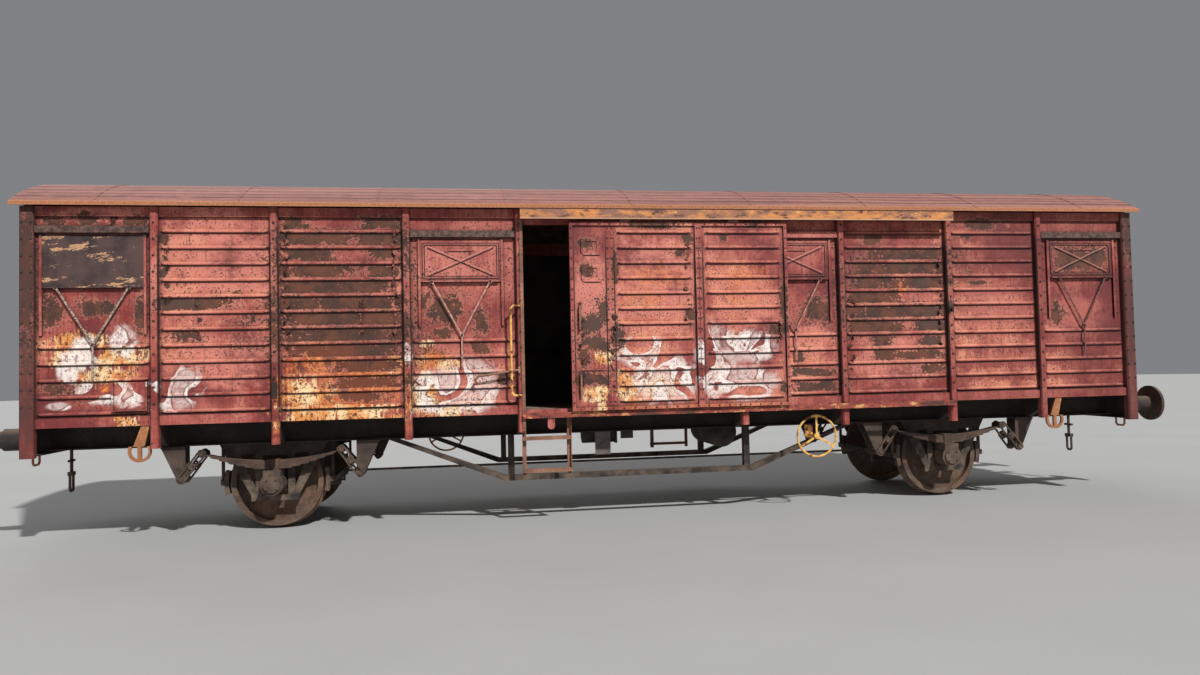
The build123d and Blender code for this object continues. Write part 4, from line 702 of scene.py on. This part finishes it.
wallInner = (1.300, 6.360)       # half width and half length of the load space
ribFoot = 1.357
doorRibFoot = 1.341
sides = (leftPlaces, rightPlaces)
panelPaint = sidePaint("faded red side paint", sides, ribFoot, fade=0.34, wear=0.16, inner=wallInner,
                       salmon=0.85, ribbed="bays", aged=True)
panelPaintFar = sidePaint("faded red side paint, far", (farPlaces,), ribFoot, far=True, fade=0.36, wear=0.16,
                          inner=wallInner, salmon=0.85, ribbed="bays", aged=True)
postPaint = sidePaint("red post paint", sides + (postShadeEdges,), fade=0.26, wear=0.0, aged=True)
postPaintFar = sidePaint("red post paint, far", (farPlaces, postShadeEdges), far=True, fade=0.26, wear=0.08,
                         aged=True)
railPaint = sidePaint("red sill paint", sides, fade=0.34, wear=0.10, aged=True)
railPaintFar = sidePaint("red sill paint, far", (farPlaces,), far=True, fade=0.34, wear=0.14, aged=True)
doorBack = (1.3970, 9.0)         # the doors' backs, seen through the doorways
doorSlide = 0.540                # how far the near door stands open, and the far one doesn't
doorPaint = sidePaint("faded red door paint", (doorPlaces, doorShadeAndSeamLines), doorRibFoot, fade=0.34, wear=0.16,
                      inner=doorBack, salmon=1.0, bloom=0.35, ribbed="door")
doorPaintFar = sidePaint("faded red door paint, far", (farPlaces, doorShadeAndSeamLines), doorRibFoot, far=True, fade=0.5,
                         wear=0.12, inner=doorBack, ribbed="door", slid=doorSlide)
endPaint = sidePaint("faded red end paint", (), ribFoot, fade=0.44, wear=0.16, inner=wallInner)
smallPaint = sidePaint("red paint of small parts", (), fade=0.40, wear=0.14)

# Middles of the shutters in X and Z, their wear, the tones of their paint and the colours of their bars
shutterRows = {
    "inner_left": (-1.933, 2.930, 0.10, "fresh", "faded", ((150, 96, 84), (206, 160, 142))),
    "inner_right": (1.933, 2.930, 0.10, "fresh", "faded", ((140, 84, 72), (190, 136, 118))),
    "outer_right": (5.699, 2.930, 0.40, "deep", "deepFaded", ((84, 52, 46), (140, 86, 76))),
}

dress(panelPaint, "side_panels_near")
dress(panelPaintFar, "side_panels_far")
dress(postPaint, "side_posts_near")
dress(postPaintFar, "side_posts_far")
dress(railPaint, "side_rails_near")
dress(railPaintFar, "side_rails_far")
dress(doorPaint, "door_near")
dress(doorPaintFar, "door_far")
dress(endPaint, "end_wall_left", "end_wall_right")
dress(smallPaint, "end_posts")
for bay, (x, z, wear, fresh, faded, bars) in shutterRows.items():
    for side in ("near", "far"):
        peeled = (farPlaces if side == "far" else rightPlaces,) if bay == "outer_right" else ()
        paint = sidePaint(f"shutter paint, {side} {bay}", peeled, far=side == "far", fade=0.36, wear=wear,
                          fresh=fresh, faded=faded, lines=(x, z), bars=bars)
        dress(paint, f"shutter_{side}_{bay}")


# Vent guides in red, their rain rails peeled to dark brown except over the bay between two places
guides = {"redBay": (0.8, 3.0), "edge": 0.1, "railFoot": 3.186}


def guidePaint():
    material, place = newMaterial("vent guide paint")
    # the guides' paint has painted shade in its corners
    paint = useGroup(oldPaint, Position=place, Fresh=paintTones["fresh"], Faded=paintTones["faded"],
                     Bare=paintTones["bare"], Fade=0.36, Wear=0.2, Crease=creaseShadeMask(0.045))
    x, y, z = split(place)
    along = x * (calc("SIGN", y) * -1.0)
    left, right = guides["redBay"]
    red = remap(along, left, left + guides["edge"]) * remap(along, right, right - guides["edge"])
    onRail = remap(z, guides["railFoot"], guides["railFoot"] + 0.004) * (1.0 - red)
    rust = blend(remap(noise(place, 16.0, 6.0, 0.7), 0.38, 0.66), tint(58, 40, 35), tint(112, 84, 72))
    colour = blend(onRail, paint["Color"], rust)
    return finishSurface(material, colour, paint["Roughness"], paint["Height"], 0.8, 0.004)


dress(guidePaint(), "vent_guides")


# The dark plate in the first bay, with scratches down to pale undercoat
def darkPlatePaint(far):
    material, place = newMaterial("dark plate paint" + (", far" if far else ""))
    cloud = noise(place, 3.2, 5.0, 0.6)
    fine = noise(place, 60.0, 4.0, 0.6)
    slanted = moved(place, location=(9, 4, 2) if far else (0, 0, 0), turn=(0, 0.12, 0))
    scrape = noise(slanted, 1.0, 6.0, 0.68, stretch=(3.4, 3.4, 13))
    scratches = remap(scrape + fine * 0.16, 0.64, 0.672)
    colour = blend(remap(cloud, 0.35, 0.65), tint(46, 34, 34), tint(84, 62, 58))
    colour = blend(scratches, colour, blend(remap(fine, 0.4, 0.6), tint(166, 120, 90), tint(208, 162, 120)))
    barTone = blend(remap(fine, 0.42, 0.6), tint(104, 84, 74), tint(186, 166, 150))
    colour = blend(barMask(place, 2.666), colour, barTone)
    return finishSurface(material, colour, 0.45 + fine * 0.25, fine - scratches, 0.5, 0.002)


dress(darkPlatePaint(False), "shutter_near_outer_left")
dress(darkPlatePaint(True), "shutter_far_outer_left")


# The roof: brown-pink paint, dark lap lines along it, rust at the edge, and painted shade on faces that look
# down
roofTones = {
    "light": tint(158, 108, 98), "mid": tint(130, 86, 78), "dark": tint(74, 44, 39), "edge": tint(190, 126, 76),
    "lapLines": [(0.42, 0.5), (0.68, 0.8), (0.9, 1.0), (1.08, 0.9), (1.2, 0.7), (1.31, 1.0)], "lipTop": 3.56,
}


def roofPaint():
    material, place = newMaterial("roof paint")
    x, y, z = split(place)
    patch = noise(place, 7.0, 6.0, 0.62)
    fine = noise(place, 48.0, 4.0, 0.65)
    streaks = noise(place, 1.0, 4.0, 0.6, stretch=(0.35, 9, 0))
    colour = blend(remap(streaks * 1.3 + patch * 0.7, 0.8, 1.2), roofTones["mid"], roofTones["light"])
    wave = (noise(place, 0.7, 3.0, stretch=(1, 0, 0)) - 0.5) * 0.05
    out = abs(y) + wave
    lines = 0.0
    for line, depth in roofTones["lapLines"]:
        lines = larger(remap(abs(out - line), 0.024, 0.004, 0.0, depth), lines)
    lines = lines * remap(noise(place, 3.0, 4.0), 0.25, 0.5)
    colour = blend(lines * 0.9, colour, roofTones["dark"])
    rust = remap(patch + fine * 0.25, 0.7, 0.82)
    colour = blend(rust * 0.7, colour, tint(132, 74, 50))
    edge = remap(z + patch * 0.03, roofTones["lipTop"] + 0.03, roofTones["lipTop"])
    edgeTone = blend(remap(fine, 0.4, 0.6), roofTones["edge"], tint(160, 98, 66))
    colour = blend(edge * 0.8, colour, edgeTone)
    # painted shade: faces that look down get darker brown tones
    down = remap(split(surfaceNormal())[2], -0.1, -0.3)
    colour = blend(down, colour, blend(remap(patch, 0.4, 0.6), tint(116, 92, 80), tint(84, 64, 56)))
    return finishSurface(material, colour, 0.62 + fine * 0.25, fine * 0.5 - lines * 0.8, 0.5, 0.006)


dress(roofPaint(), "roof")
dress(rustMaterial("dull brown hoops", (74, 58, 50), (120, 94, 78), (150, 124, 104), 0.2), "roof_hoops")


# The track cover: brown and orange by turns along it, with runs, a pale worn lower edge and a dark top
cover = {"lowerEdge": 3.388, "top": 3.488}


def coverRust():
    material, place = newMaterial("rusted track cover")
    stretch = noise(place, 1.0, 3.0, 0.6, stretch=(1.3, 1.3, 2.6))
    mottle = noise(place, 1.0, 6.0, 0.7, stretch=(6, 6, 16))
    grain = noise(place, 46.0, 5.0, 0.7)
    colour = blend(remap(stretch * 1.5 + mottle, 1.16, 1.42), tint(146, 100, 80), tint(208, 134, 72))
    bright = mottle + grain * 0.3
    colour = blend(remap(bright, 0.72, 0.82), colour, tint(226, 166, 104))
    colour = blend(remap(bright, 0.6, 0.53), colour, tint(92, 56, 40))
    height = split(place)[2]
    worn = remap(height, cover["lowerEdge"] + 0.008, cover["lowerEdge"])
    colour = blend(worn * 0.7, colour, tint(196, 158, 128))
    colour = blend(remap(height, cover["top"] - 0.006, cover["top"]) * 0.8, colour, tint(70, 44, 30))
    return finishSurface(material, colour, 0.6 + grain * 0.3, grain, 0.6, 0.003)


# The door's lower rail: red, brown and yellow-white by patches
def lowerRailRust():
    material, place = newMaterial("patchy lower rail")
    patch = noise(place, 1.0, 6.0, 0.7, stretch=(4, 4, 9))
    grain = noise(place, 50.0, 4.0, 0.7)
    mix = patch + (grain - 0.5) * 0.25
    colour = blend(remap(mix, 0.42, 0.5), tint(84, 48, 38), tint(146, 66, 54))
    colour = blend(remap(mix, 0.56, 0.6), colour, tint(206, 150, 92))
    colour = blend(remap(mix, 0.64, 0.68), colour, tint(238, 206, 160))
    return finishSurface(material, colour, 0.6 + grain * 0.3, grain, 0.6, 0.003)


dress(lowerRailRust(), "lower_door_rails")
ladderRust = rustMaterial("rusted ladder", (96, 66, 54), (158, 112, 86), (196, 152, 118), 0.45, dust=0.2)
hookRust = rustMaterial("orange rusted hook", (98, 66, 50), (168, 108, 68), (216, 164, 122), 0.6, dust=0.2)
darkFrame = rustMaterial("dark underframe paint", (34, 29, 28), (62, 48, 42), (104, 84, 70), 0.25, dust=0.45)
castSteel = rustMaterial("rusted castings", (44, 36, 34), (86, 64, 52), (126, 100, 80), 0.32, 1.6, 0.4)
springSteel = rustMaterial("rusted spring leaves", (40, 33, 31), (92, 62, 48), (130, 98, 76), 0.35, 1.3, 0.35)
wheelSteel = rustMaterial("rusted wheels", (48, 38, 34), (96, 66, 50), (138, 104, 80), 0.36, 0.8, 0.35)
greySteel = rustMaterial("worn grey steel", (84, 78, 74), (118, 106, 96), (150, 138, 126), 0.35, dust=0.25)
dress(coverRust(), "door_track_covers")
dress(ladderRust, "door_ladders", "jamb_strips", "door_catches", "door_fittings_near", "door_fittings_far")
dress(hookRust, "rope_hooks", "shunter_handles")
dress(darkFrame, "sole_bars", "outriggers", "cross_members", "headstocks", "trusses", "axle_guards",
      "brake_beams", "brake_rods", "brake_cylinder", "air_reservoir", "buffer_casings")
dress(castSteel, "axleboxes", "spring_links", "spring_hangers", "draw_hooks", "screw_couplings", "brake_shoes",
      "brake_cocks", "buffer_heads")
dress(springSteel, "leaf_springs")
dress(wheelSteel, "wheels_left", "wheels_right", "axle_left", "axle_right")
dress(greySteel, "changeover_plates")
dress(sidePaint("label tray paint", (leftPlaces,), fade=0.3, wear=0.2), "label_trays")


# Yellow paint on the hand gear, chipped to brown
def yellowPaint():
    material, place = newMaterial("chipped yellow paint")
    patch = noise(place, 14.0, 6.0, 0.62)
    fine = noise(place, 90.0, 3.0, 0.6)
    chips = remap(patch + fine * 0.3, 0.7, 0.74)
    colour = blend(remap(patch, 0.35, 0.65), tint(236, 190, 96), tint(214, 140, 74))
    colour = blend(chips, colour, tint(96, 58, 42))
    return finishSurface(material, colour, 0.42 + fine * 0.3, fine * 0.2 - chips, 0.6, 0.002)


dress(yellowPaint(), "handrails", "handbrake_wheels")


def floorBoards():
    material, place = newMaterial("old floor boards")
    wood = useGroup(boards, Position=place)
    return finishSurface(material, wood["Color"], wood["Roughness"], wood["Height"], 0.7, 0.006)


dress(floorBoards(), "floor")
print("materials on all nodes:", all(node.data.materials for node in nodes.values()))

# Bolts down the posts, at the ribs' spacing
postBolts = {
    "radius": 0.012, "height": 0.009, "pitch": 0.1725, "first": 1.443, "rows": 12, "front": 1.380,
    "columns": [-6.365, -6.275, -5.104, -3.904, -2.522, -1.290, 1.290, 2.522, 3.904, 5.104, 6.275, 6.365],
}


def boltColumn(x, front, size):
    bolt = addNut(size["radius"], size["height"])
    bolt.location = (x, -front - size["height"] / 2 + 0.001, size["first"])
    settle(bolt)
    array = bolt.modifiers.new("rows", "ARRAY")
    array.count = size["rows"]
    array.use_relative_offset = False
    array.use_constant_offset = True
    array.constant_offset_displace = (0, 0, size["pitch"])
    bpy.ops.object.modifier_apply(modifier=array.name)
    return bolt


# Smaller bolts beside the vent guides
guideBolts = {
    "radius": 0.008, "height": 0.006, "pitch": 0.138, "first": 2.250, "rows": 8, "front": 1.320,
    "columns": [-6.228, -5.170, -2.434, -1.404, 1.404, 2.434, 5.195, 6.204],
}
boltColumns = [boltColumn(x, size["front"], size) for size in (postBolts, guideBolts) for x in size["columns"]]
nearBolts = joined(boltColumns, "post_bolts_near")
bothSides(nearBolts, castSteel, "wagon")
print("post bolts placed")

# The door's seam strip and hatch line, and its columns of bolts
doorTrim = {
    "strips": [(-0.318, 1.290, -0.234, 3.300), (-0.690, 1.676, -0.330, 1.700)],
    "sheet": 1.440, "thickness": 0.004,
    "columns": [(-0.300, 1.444), (-0.252, 1.444), (0.736, 1.460), (0.768, 1.460), (-0.7145, 1.460),
                (1.7945, 1.460)],
    "radius": 0.009, "height": 0.007, "first": 1.330, "pitch": 0.115, "rows": 18,
    "front": 1.460, "rowHeights": (1.256, 3.330), "rowStart": -0.640, "rowPitch": 0.1225, "rowCount": 20,
}


def doorStrips():
    out = doorTrim["sheet"]
    strips = [addBox((left, -out - doorTrim["thickness"], low), (right, 0.001 - out, high), 0.0015)
              for left, low, right, high in doorTrim["strips"]]
    return joined(strips, "door_strips_near")


def doorBolts():
    out = 0.001 - doorTrim["front"] - doorTrim["height"] / 2
    spots = [(doorTrim["rowStart"] + k * doorTrim["rowPitch"], out, z)
             for z in doorTrim["rowHeights"] for k in range(doorTrim["rowCount"])]
    rows = copiesAt(addNut(doorTrim["radius"], doorTrim["height"]), spots, "row_bolts")
    columns = [boltColumn(x, front, doorTrim) for x, front in doorTrim["columns"]]
    return joined(columns + [rows], "door_bolts_near")


nearStrips, nearDoorBolts = doorStrips(), doorBolts()
bothSides(nearStrips, doorPaint, "sliding_door_near", doorPaintFar, doorSlide)
bothSides(nearDoorBolts, castSteel, "sliding_door_near", slid=doorSlide)
print("door strips and bolts placed")

# Nuts at the three joints of each shutter's bars: left, right and lower edge of the shutters
shutterNuts = {
    "radius": 0.015, "height": 0.010, "front": 1.364, "spread": 0.7, "drop": 0.590,
    "bays": {"outer_left": (-6.203, -5.195, 2.662), "inner_left": (-2.387, -1.479, 2.698),
             "inner_right": (1.479, 2.387, 2.698), "outer_right": (5.245, 6.153, 2.698)},
}
for bay, (left, right, low) in shutterNuts["bays"].items():
    middle, reach = (left + right) / 2, shutterNuts["spread"] * (right - left) / 2
    out = 0.001 - shutterNuts["front"] - shutterNuts["height"] / 2
    spots = [(middle - reach, out, low), (middle + reach, out, low), (middle, out, low - shutterNuts["drop"])]
    nuts = copiesAt(addNut(shutterNuts["radius"], shutterNuts["height"]), spots, f"shutter_nuts_near_{bay}")
    bothSides(nuts, castSteel, f"vent_near_{bay}")
print("shutter nuts placed")

# Slotted keeper and knob on one post, a cleat on another, and the tag below the door's rail
postFittings = {
    "keeper": (-3.904, 1.385), "keeperFoot": 1.470, "keeperHeight": 0.170, "keeperWidth": 0.050,
    "knobHeight": 1.690,
    "cleat": (3.904, 1.380), "cleatHeight": 2.330, "tag": (-1.010, 1.046), "tagSize": (0.078, 0.128),
    "tagOut": 1.412, "tagCut": 0.022,
}


def slottedKeeper():
    x, out = postFittings["keeper"]
    half, foot = postFittings["keeperWidth"] / 2, postFittings["keeperFoot"]
    plate = addBox((x - half, -out - 0.004, foot), (x + half, 0.006 - out, foot + postFittings["keeperHeight"]))
    chooseFaces(plate, lambda face: face.normal.y < -0.99)
    bpy.ops.mesh.inset(thickness=0.012)
    bpy.ops.mesh.extrude_region_move(TRANSFORM_OT_translate={"value": (0, 0.003, 0)})
    bpy.ops.mesh.inset(thickness=0.002)
    bpy.ops.object.mode_set(mode="OBJECT")
    modifier = plate.modifiers.new("edges", "BEVEL")
    modifier.width = 0.0015
    modifier.limit_method = "ANGLE"
    bpy.ops.object.modifier_apply(modifier=modifier.name)
    return plate


def knob(x, out, z, radius, length):
    stem = addDisc(radius * 0.6, length, 12, 0.001)
    stem.location = (x, -out - length / 2 + 0.001, z)
    settle(stem)
    head = addDisc(radius, radius * 0.8, 12, radius * 0.25)
    head.location = (x, -out - length - radius * 0.3, z)
    return [stem, settle(head)]


def cleat():
    x, out = postFittings["cleat"]
    z = postFittings["cleatHeight"]
    foot = addBox((x - 0.030, -out - 0.008, z - 0.030), (x + 0.030, 0.001 - out, z + 0.030), 0.002)
    jaw = addBox((x - 0.012, -out - 0.042, z - 0.012), (x + 0.012, -out - 0.006, z + 0.012), 0.003)
    return [foot, jaw] + knob(x - 0.010, out + 0.034, z, 0.016, 0.012)


def doorTag():
    x, z = postFittings["tag"]
    width, height = postFittings["tagSize"]
    out = postFittings["tagOut"]
    plate = addBox((x, -out, z), (x + width, 0.005 - out, z + height))
    pick(plate)
    bpy.ops.object.mode_set(mode="EDIT")
    bpy.ops.mesh.select_mode(type="EDGE")
    bpy.ops.mesh.select_all(action="DESELECT")
    bpy.ops.object.mode_set(mode="OBJECT")
    points = plate.data.vertices
    for edge in plate.data.edges:        # the two lower corners, cut off
        ends = [points[index].co for index in edge.vertices]
        edge.select = all(end.z < z + 0.001 for end in ends) and abs(ends[0].x - ends[1].x) < 0.0001
    bpy.ops.object.mode_set(mode="EDIT")
    bpy.ops.mesh.bevel(offset=postFittings["tagCut"], segments=1)
    bpy.ops.object.mode_set(mode="OBJECT")
    spots = [(x + width * part, -out - 0.002, z + height - 0.020) for part in (0.25, 0.75)]
    return joined([plate, copiesAt(addNut(0.008, 0.006), spots, "nuts")], "door_tag_near")


x, out = postFittings["keeper"]
fittings = [slottedKeeper()] + knob(x, out - 0.005, postFittings["knobHeight"], 0.015, 0.020) + cleat()
nearFittings = joined(fittings, "post_fittings_near")
nearTag = doorTag()
bothSides(nearFittings, darkFrame, "wagon")
bothSides(nearTag, smallPaint, "wagon")
print("post fittings and tags placed")

# Nuts on the buffer and hook plates, the end posts and the axlebox caps
runningNuts = {
    "radius": 0.017, "height": 0.014, "bufferFace": 6.410, "bufferPlaces": (-0.875, 0.875),
    "bufferHeight": 1.088, "plateReach": (0.140, 0.112), "hookFace": 6.406, "hookReach": (0.125, 0.066),
    "postFace": 6.450, "postPlaces": (-0.480, 0.480), "postFoot": 1.100, "postPitch": 0.230, "postRows": 11,
    "axles": (-4.0, 4.0), "axleHeight": 0.528, "capRing": 0.072, "capNut": 0.010,
}


def plateNuts(places, reach, face, name):    # four nuts round each plate on the headstocks
    across, up = reach
    out = face + runningNuts["height"] / 2 - 0.001
    spots = [(end * out, place + side * across, runningNuts["bufferHeight"] + level * up, end * math.pi / 2)
             for end in (-1, 1) for place in places for side in (-1, 1) for level in (-1, 1)]
    return copiesAt(addNut(runningNuts["radius"], runningNuts["height"]), spots, name)


def endPostNuts():
    out = runningNuts["postFace"] + runningNuts["height"] / 2 - 0.001
    levels = [runningNuts["postFoot"] + row * runningNuts["postPitch"]
              for row in range(runningNuts["postRows"])]
    spots = [(end * out, place, level, end * math.pi / 2)
             for end in (-1, 1) for place in runningNuts["postPlaces"] for level in levels]
    return copiesAt(addNut(runningNuts["capNut"], runningNuts["height"]), spots, "end_post_nuts")


def axleboxNuts():
    ring, out = runningNuts["capRing"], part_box("axleboxes")[0][1] - runningNuts["height"] / 2 + 0.001
    angles = [math.pi * (k + 0.5) / 2 for k in range(4)]
    spots = [(axle + math.cos(angle) * ring, out, runningNuts["axleHeight"] + math.sin(angle) * ring)
             for axle in runningNuts["axles"] for angle in angles]
    nuts = copiesAt(addNut(runningNuts["capNut"], runningNuts["height"]), spots, "axlebox_nuts")
    return joined([nuts, turnedRound(nuts, "axlebox_nuts_far")], "axlebox_nuts")


bufferNuts = plateNuts(runningNuts["bufferPlaces"], runningNuts["plateReach"], runningNuts["bufferFace"],
                       "buffer_nuts")
hookNuts = plateNuts((0.0,), runningNuts["hookReach"], runningNuts["hookFace"], "draw_hook_nuts")
riding(bufferNuts, castSteel, "wagon")
riding(hookNuts, castSteel, "wagon")
riding(endPostNuts(), castSteel, "wagon")
riding(axleboxNuts(), castSteel, "wagon")
print("buffer and axlebox nuts placed")

# Flakes of paint that curl off the sheets at the edges of the worst peeling: place, height from and to, which
# way they open, how many
flakes = {
    "seed": 11, "size": 0.052, "thickness": 0.0015, "curl": -80, "sheet": 1.320, "doorSheet": 1.440,
    "wagon": [(-3.835, 1.95, 3.30, 1, 26), (-2.590, 1.95, 3.30, -1, 26), (-5.035, 2.42, 3.22, 1, 9),
              (-5.560, 3.33, 3.40, 1, 6), (2.590, 1.55, 3.05, 1, 16), (3.835, 1.90, 3.10, -1, 12),
              (-3.05, 2.10, 2.56, 1, 8), (-4.62, 2.12, 2.52, -1, 6)],
    "door": [(-0.665, 1.45, 2.45, 1, 12), (-0.190, 1.95, 2.35, -1, 7), (-0.215, 1.50, 2.20, -1, 9),
             (0.665, 2.20, 3.10, -1, 5), (1.745, 1.95, 2.25, -1, 6), (0.560, 2.98, 3.06, 1, 3)],
}


def oneFlake(seed):
    deselectAll()
    size = flakes["size"]
    bpy.ops.mesh.primitive_grid_add(x_subdivisions=4, y_subdivisions=2, size=size, location=(size / 2, 0, 0),
                                    rotation=(math.pi / 2, 0, 0))
    flake = settle(bpy.context.active_object, "flake")
    pick(flake)
    bpy.ops.object.mode_set(mode="EDIT")
    bpy.ops.mesh.select_all(action="SELECT")
    bpy.ops.transform.vertex_random(offset=size * 0.14, seed=seed)
    bpy.ops.object.mode_set(mode="OBJECT")
    bend = flake.modifiers.new("curl", "SIMPLE_DEFORM")
    bend.deform_method = "BEND"
    bend.deform_axis = "Z"
    bend.angle = math.radians(flakes["curl"])
    bpy.ops.object.modifier_apply(modifier=bend.name)
    skin = flake.modifiers.new("thickness", "SOLIDIFY")
    skin.thickness = flakes["thickness"]
    bpy.ops.object.modifier_apply(modifier=skin.name)
    return flake


def curledFlakes(rows, sheet, name):
    dice = random.Random(flakes["seed"])
    models = [oneFlake(seed) for seed in (1, 2, 3)]
    pieces = []
    for place, low, high, way, count in rows:
        for k in range(count):
            turn = (0, dice.uniform(-0.7, 0.7) + (math.pi if way < 0 else 0), 0)
            across = place + way * dice.uniform(0, 0.05)
            spot = (across, -sheet - 0.001, low + (high - low) * (k + dice.random()) / count)
            piece = copyOf(models[k % len(models)], spot, turn)
            piece.scale = [dice.uniform(0.5, 1.1)] * 3
            pieces.append(piece)
    for model in models:
        bpy.data.objects.remove(model)
    return joined(pieces, name)


flakePaint = sidePaint("curled paint", (), fade=0.5, wear=0.95, fresh="deep", creaseShade=0.03)
wagonFlakes = curledFlakes(flakes["wagon"], flakes["sheet"], "paint_flakes_near")
bothSides(wagonFlakes, flakePaint, "wagon")
doorFlakes = curledFlakes(flakes["door"], flakes["doorSheet"], "door_flakes_near")
bothSides(doorFlakes, flakePaint, "sliding_door_near", slid=doorSlide)
print("flakes placed:", len(wagonFlakes.data.polygons), "and", len(doorFlakes.data.polygons), "faces a side")

# Floor, light and camera
studio = {
    "floorRadius": 80.0, "sky": 0.24, "air": (0.90, 0.93, 0.98, 1),
    # name, strength, spread in degrees, the way it shines
    "suns": [("key light", 3.9, 2.0, (-0.42, 0.92, -1.00)), ("fill light", 0.2, 50, (0.9, 0.4, -0.5)),
             ("back light", 0.8, 50, (0.3, -1.0, -0.8))],
}
deselectAll()
bpy.ops.mesh.primitive_circle_add(vertices=96, radius=studio["floorRadius"], fill_type="NGON")
studioFloor = settle(bpy.context.active_object, "studio_floor")
floorFinish, place = newMaterial("pale studio floor")
floorShader = floorFinish.node_tree.nodes["Principled BSDF"]
feed(floorShader.inputs["Base Color"], blend(noise(place, 0.6, 3.0), tint(158, 158, 156), tint(168, 168, 166)))
feed(floorShader.inputs["Roughness"], 0.9)
studioFloor.data.materials.append(floorFinish)

for name, strength, spread, (x, y, z) in studio["suns"]:
    lamp = bpy.data.lights.new(name, "SUN")
    lamp.energy = strength
    lamp.angle = math.radians(spread)
    holder = bpy.data.objects.new(name, lamp)
    bpy.context.scene.collection.objects.link(holder)
    holder.rotation_euler = (math.atan2(math.hypot(x, y), -z), 0, math.atan2(-x, y))

world = bpy.data.worlds.new("studio air")
world.use_nodes = True
background = world.node_tree.nodes["Background"]
background.inputs["Color"].default_value = studio["air"]
background.inputs["Strength"].default_value = studio["sky"]
bpy.context.scene.world = world
bpy.context.scene.view_settings.view_transform = "Standard"

# The camera of the photograph: lens in mm, angles in degrees
view = {"lens": 25.656, "place": (-1.9127, -10.8938, 1.7183), "yaw": 9.045, "pitch": 1.992, "roll": -1.304}
cameraData = bpy.data.cameras.new("photo view")
cameraData.lens = view["lens"]
cameraData.sensor_width = 36.0
cameraData.clip_end = 400
camera = bpy.data.objects.new("photo view", cameraData)
bpy.context.scene.collection.objects.link(camera)
camera.location = view["place"]
yaw, pitch, roll = (math.radians(view[key]) for key in ("yaw", "pitch", "roll"))
aim = Matrix.Rotation(-yaw, 4, "Z") @ Matrix.Rotation(math.pi / 2 + pitch, 4, "X")
camera.rotation_euler = (aim @ Matrix.Rotation(roll, 4, "Z")).to_euler()
bpy.context.scene.camera = camera
print("studio ready")
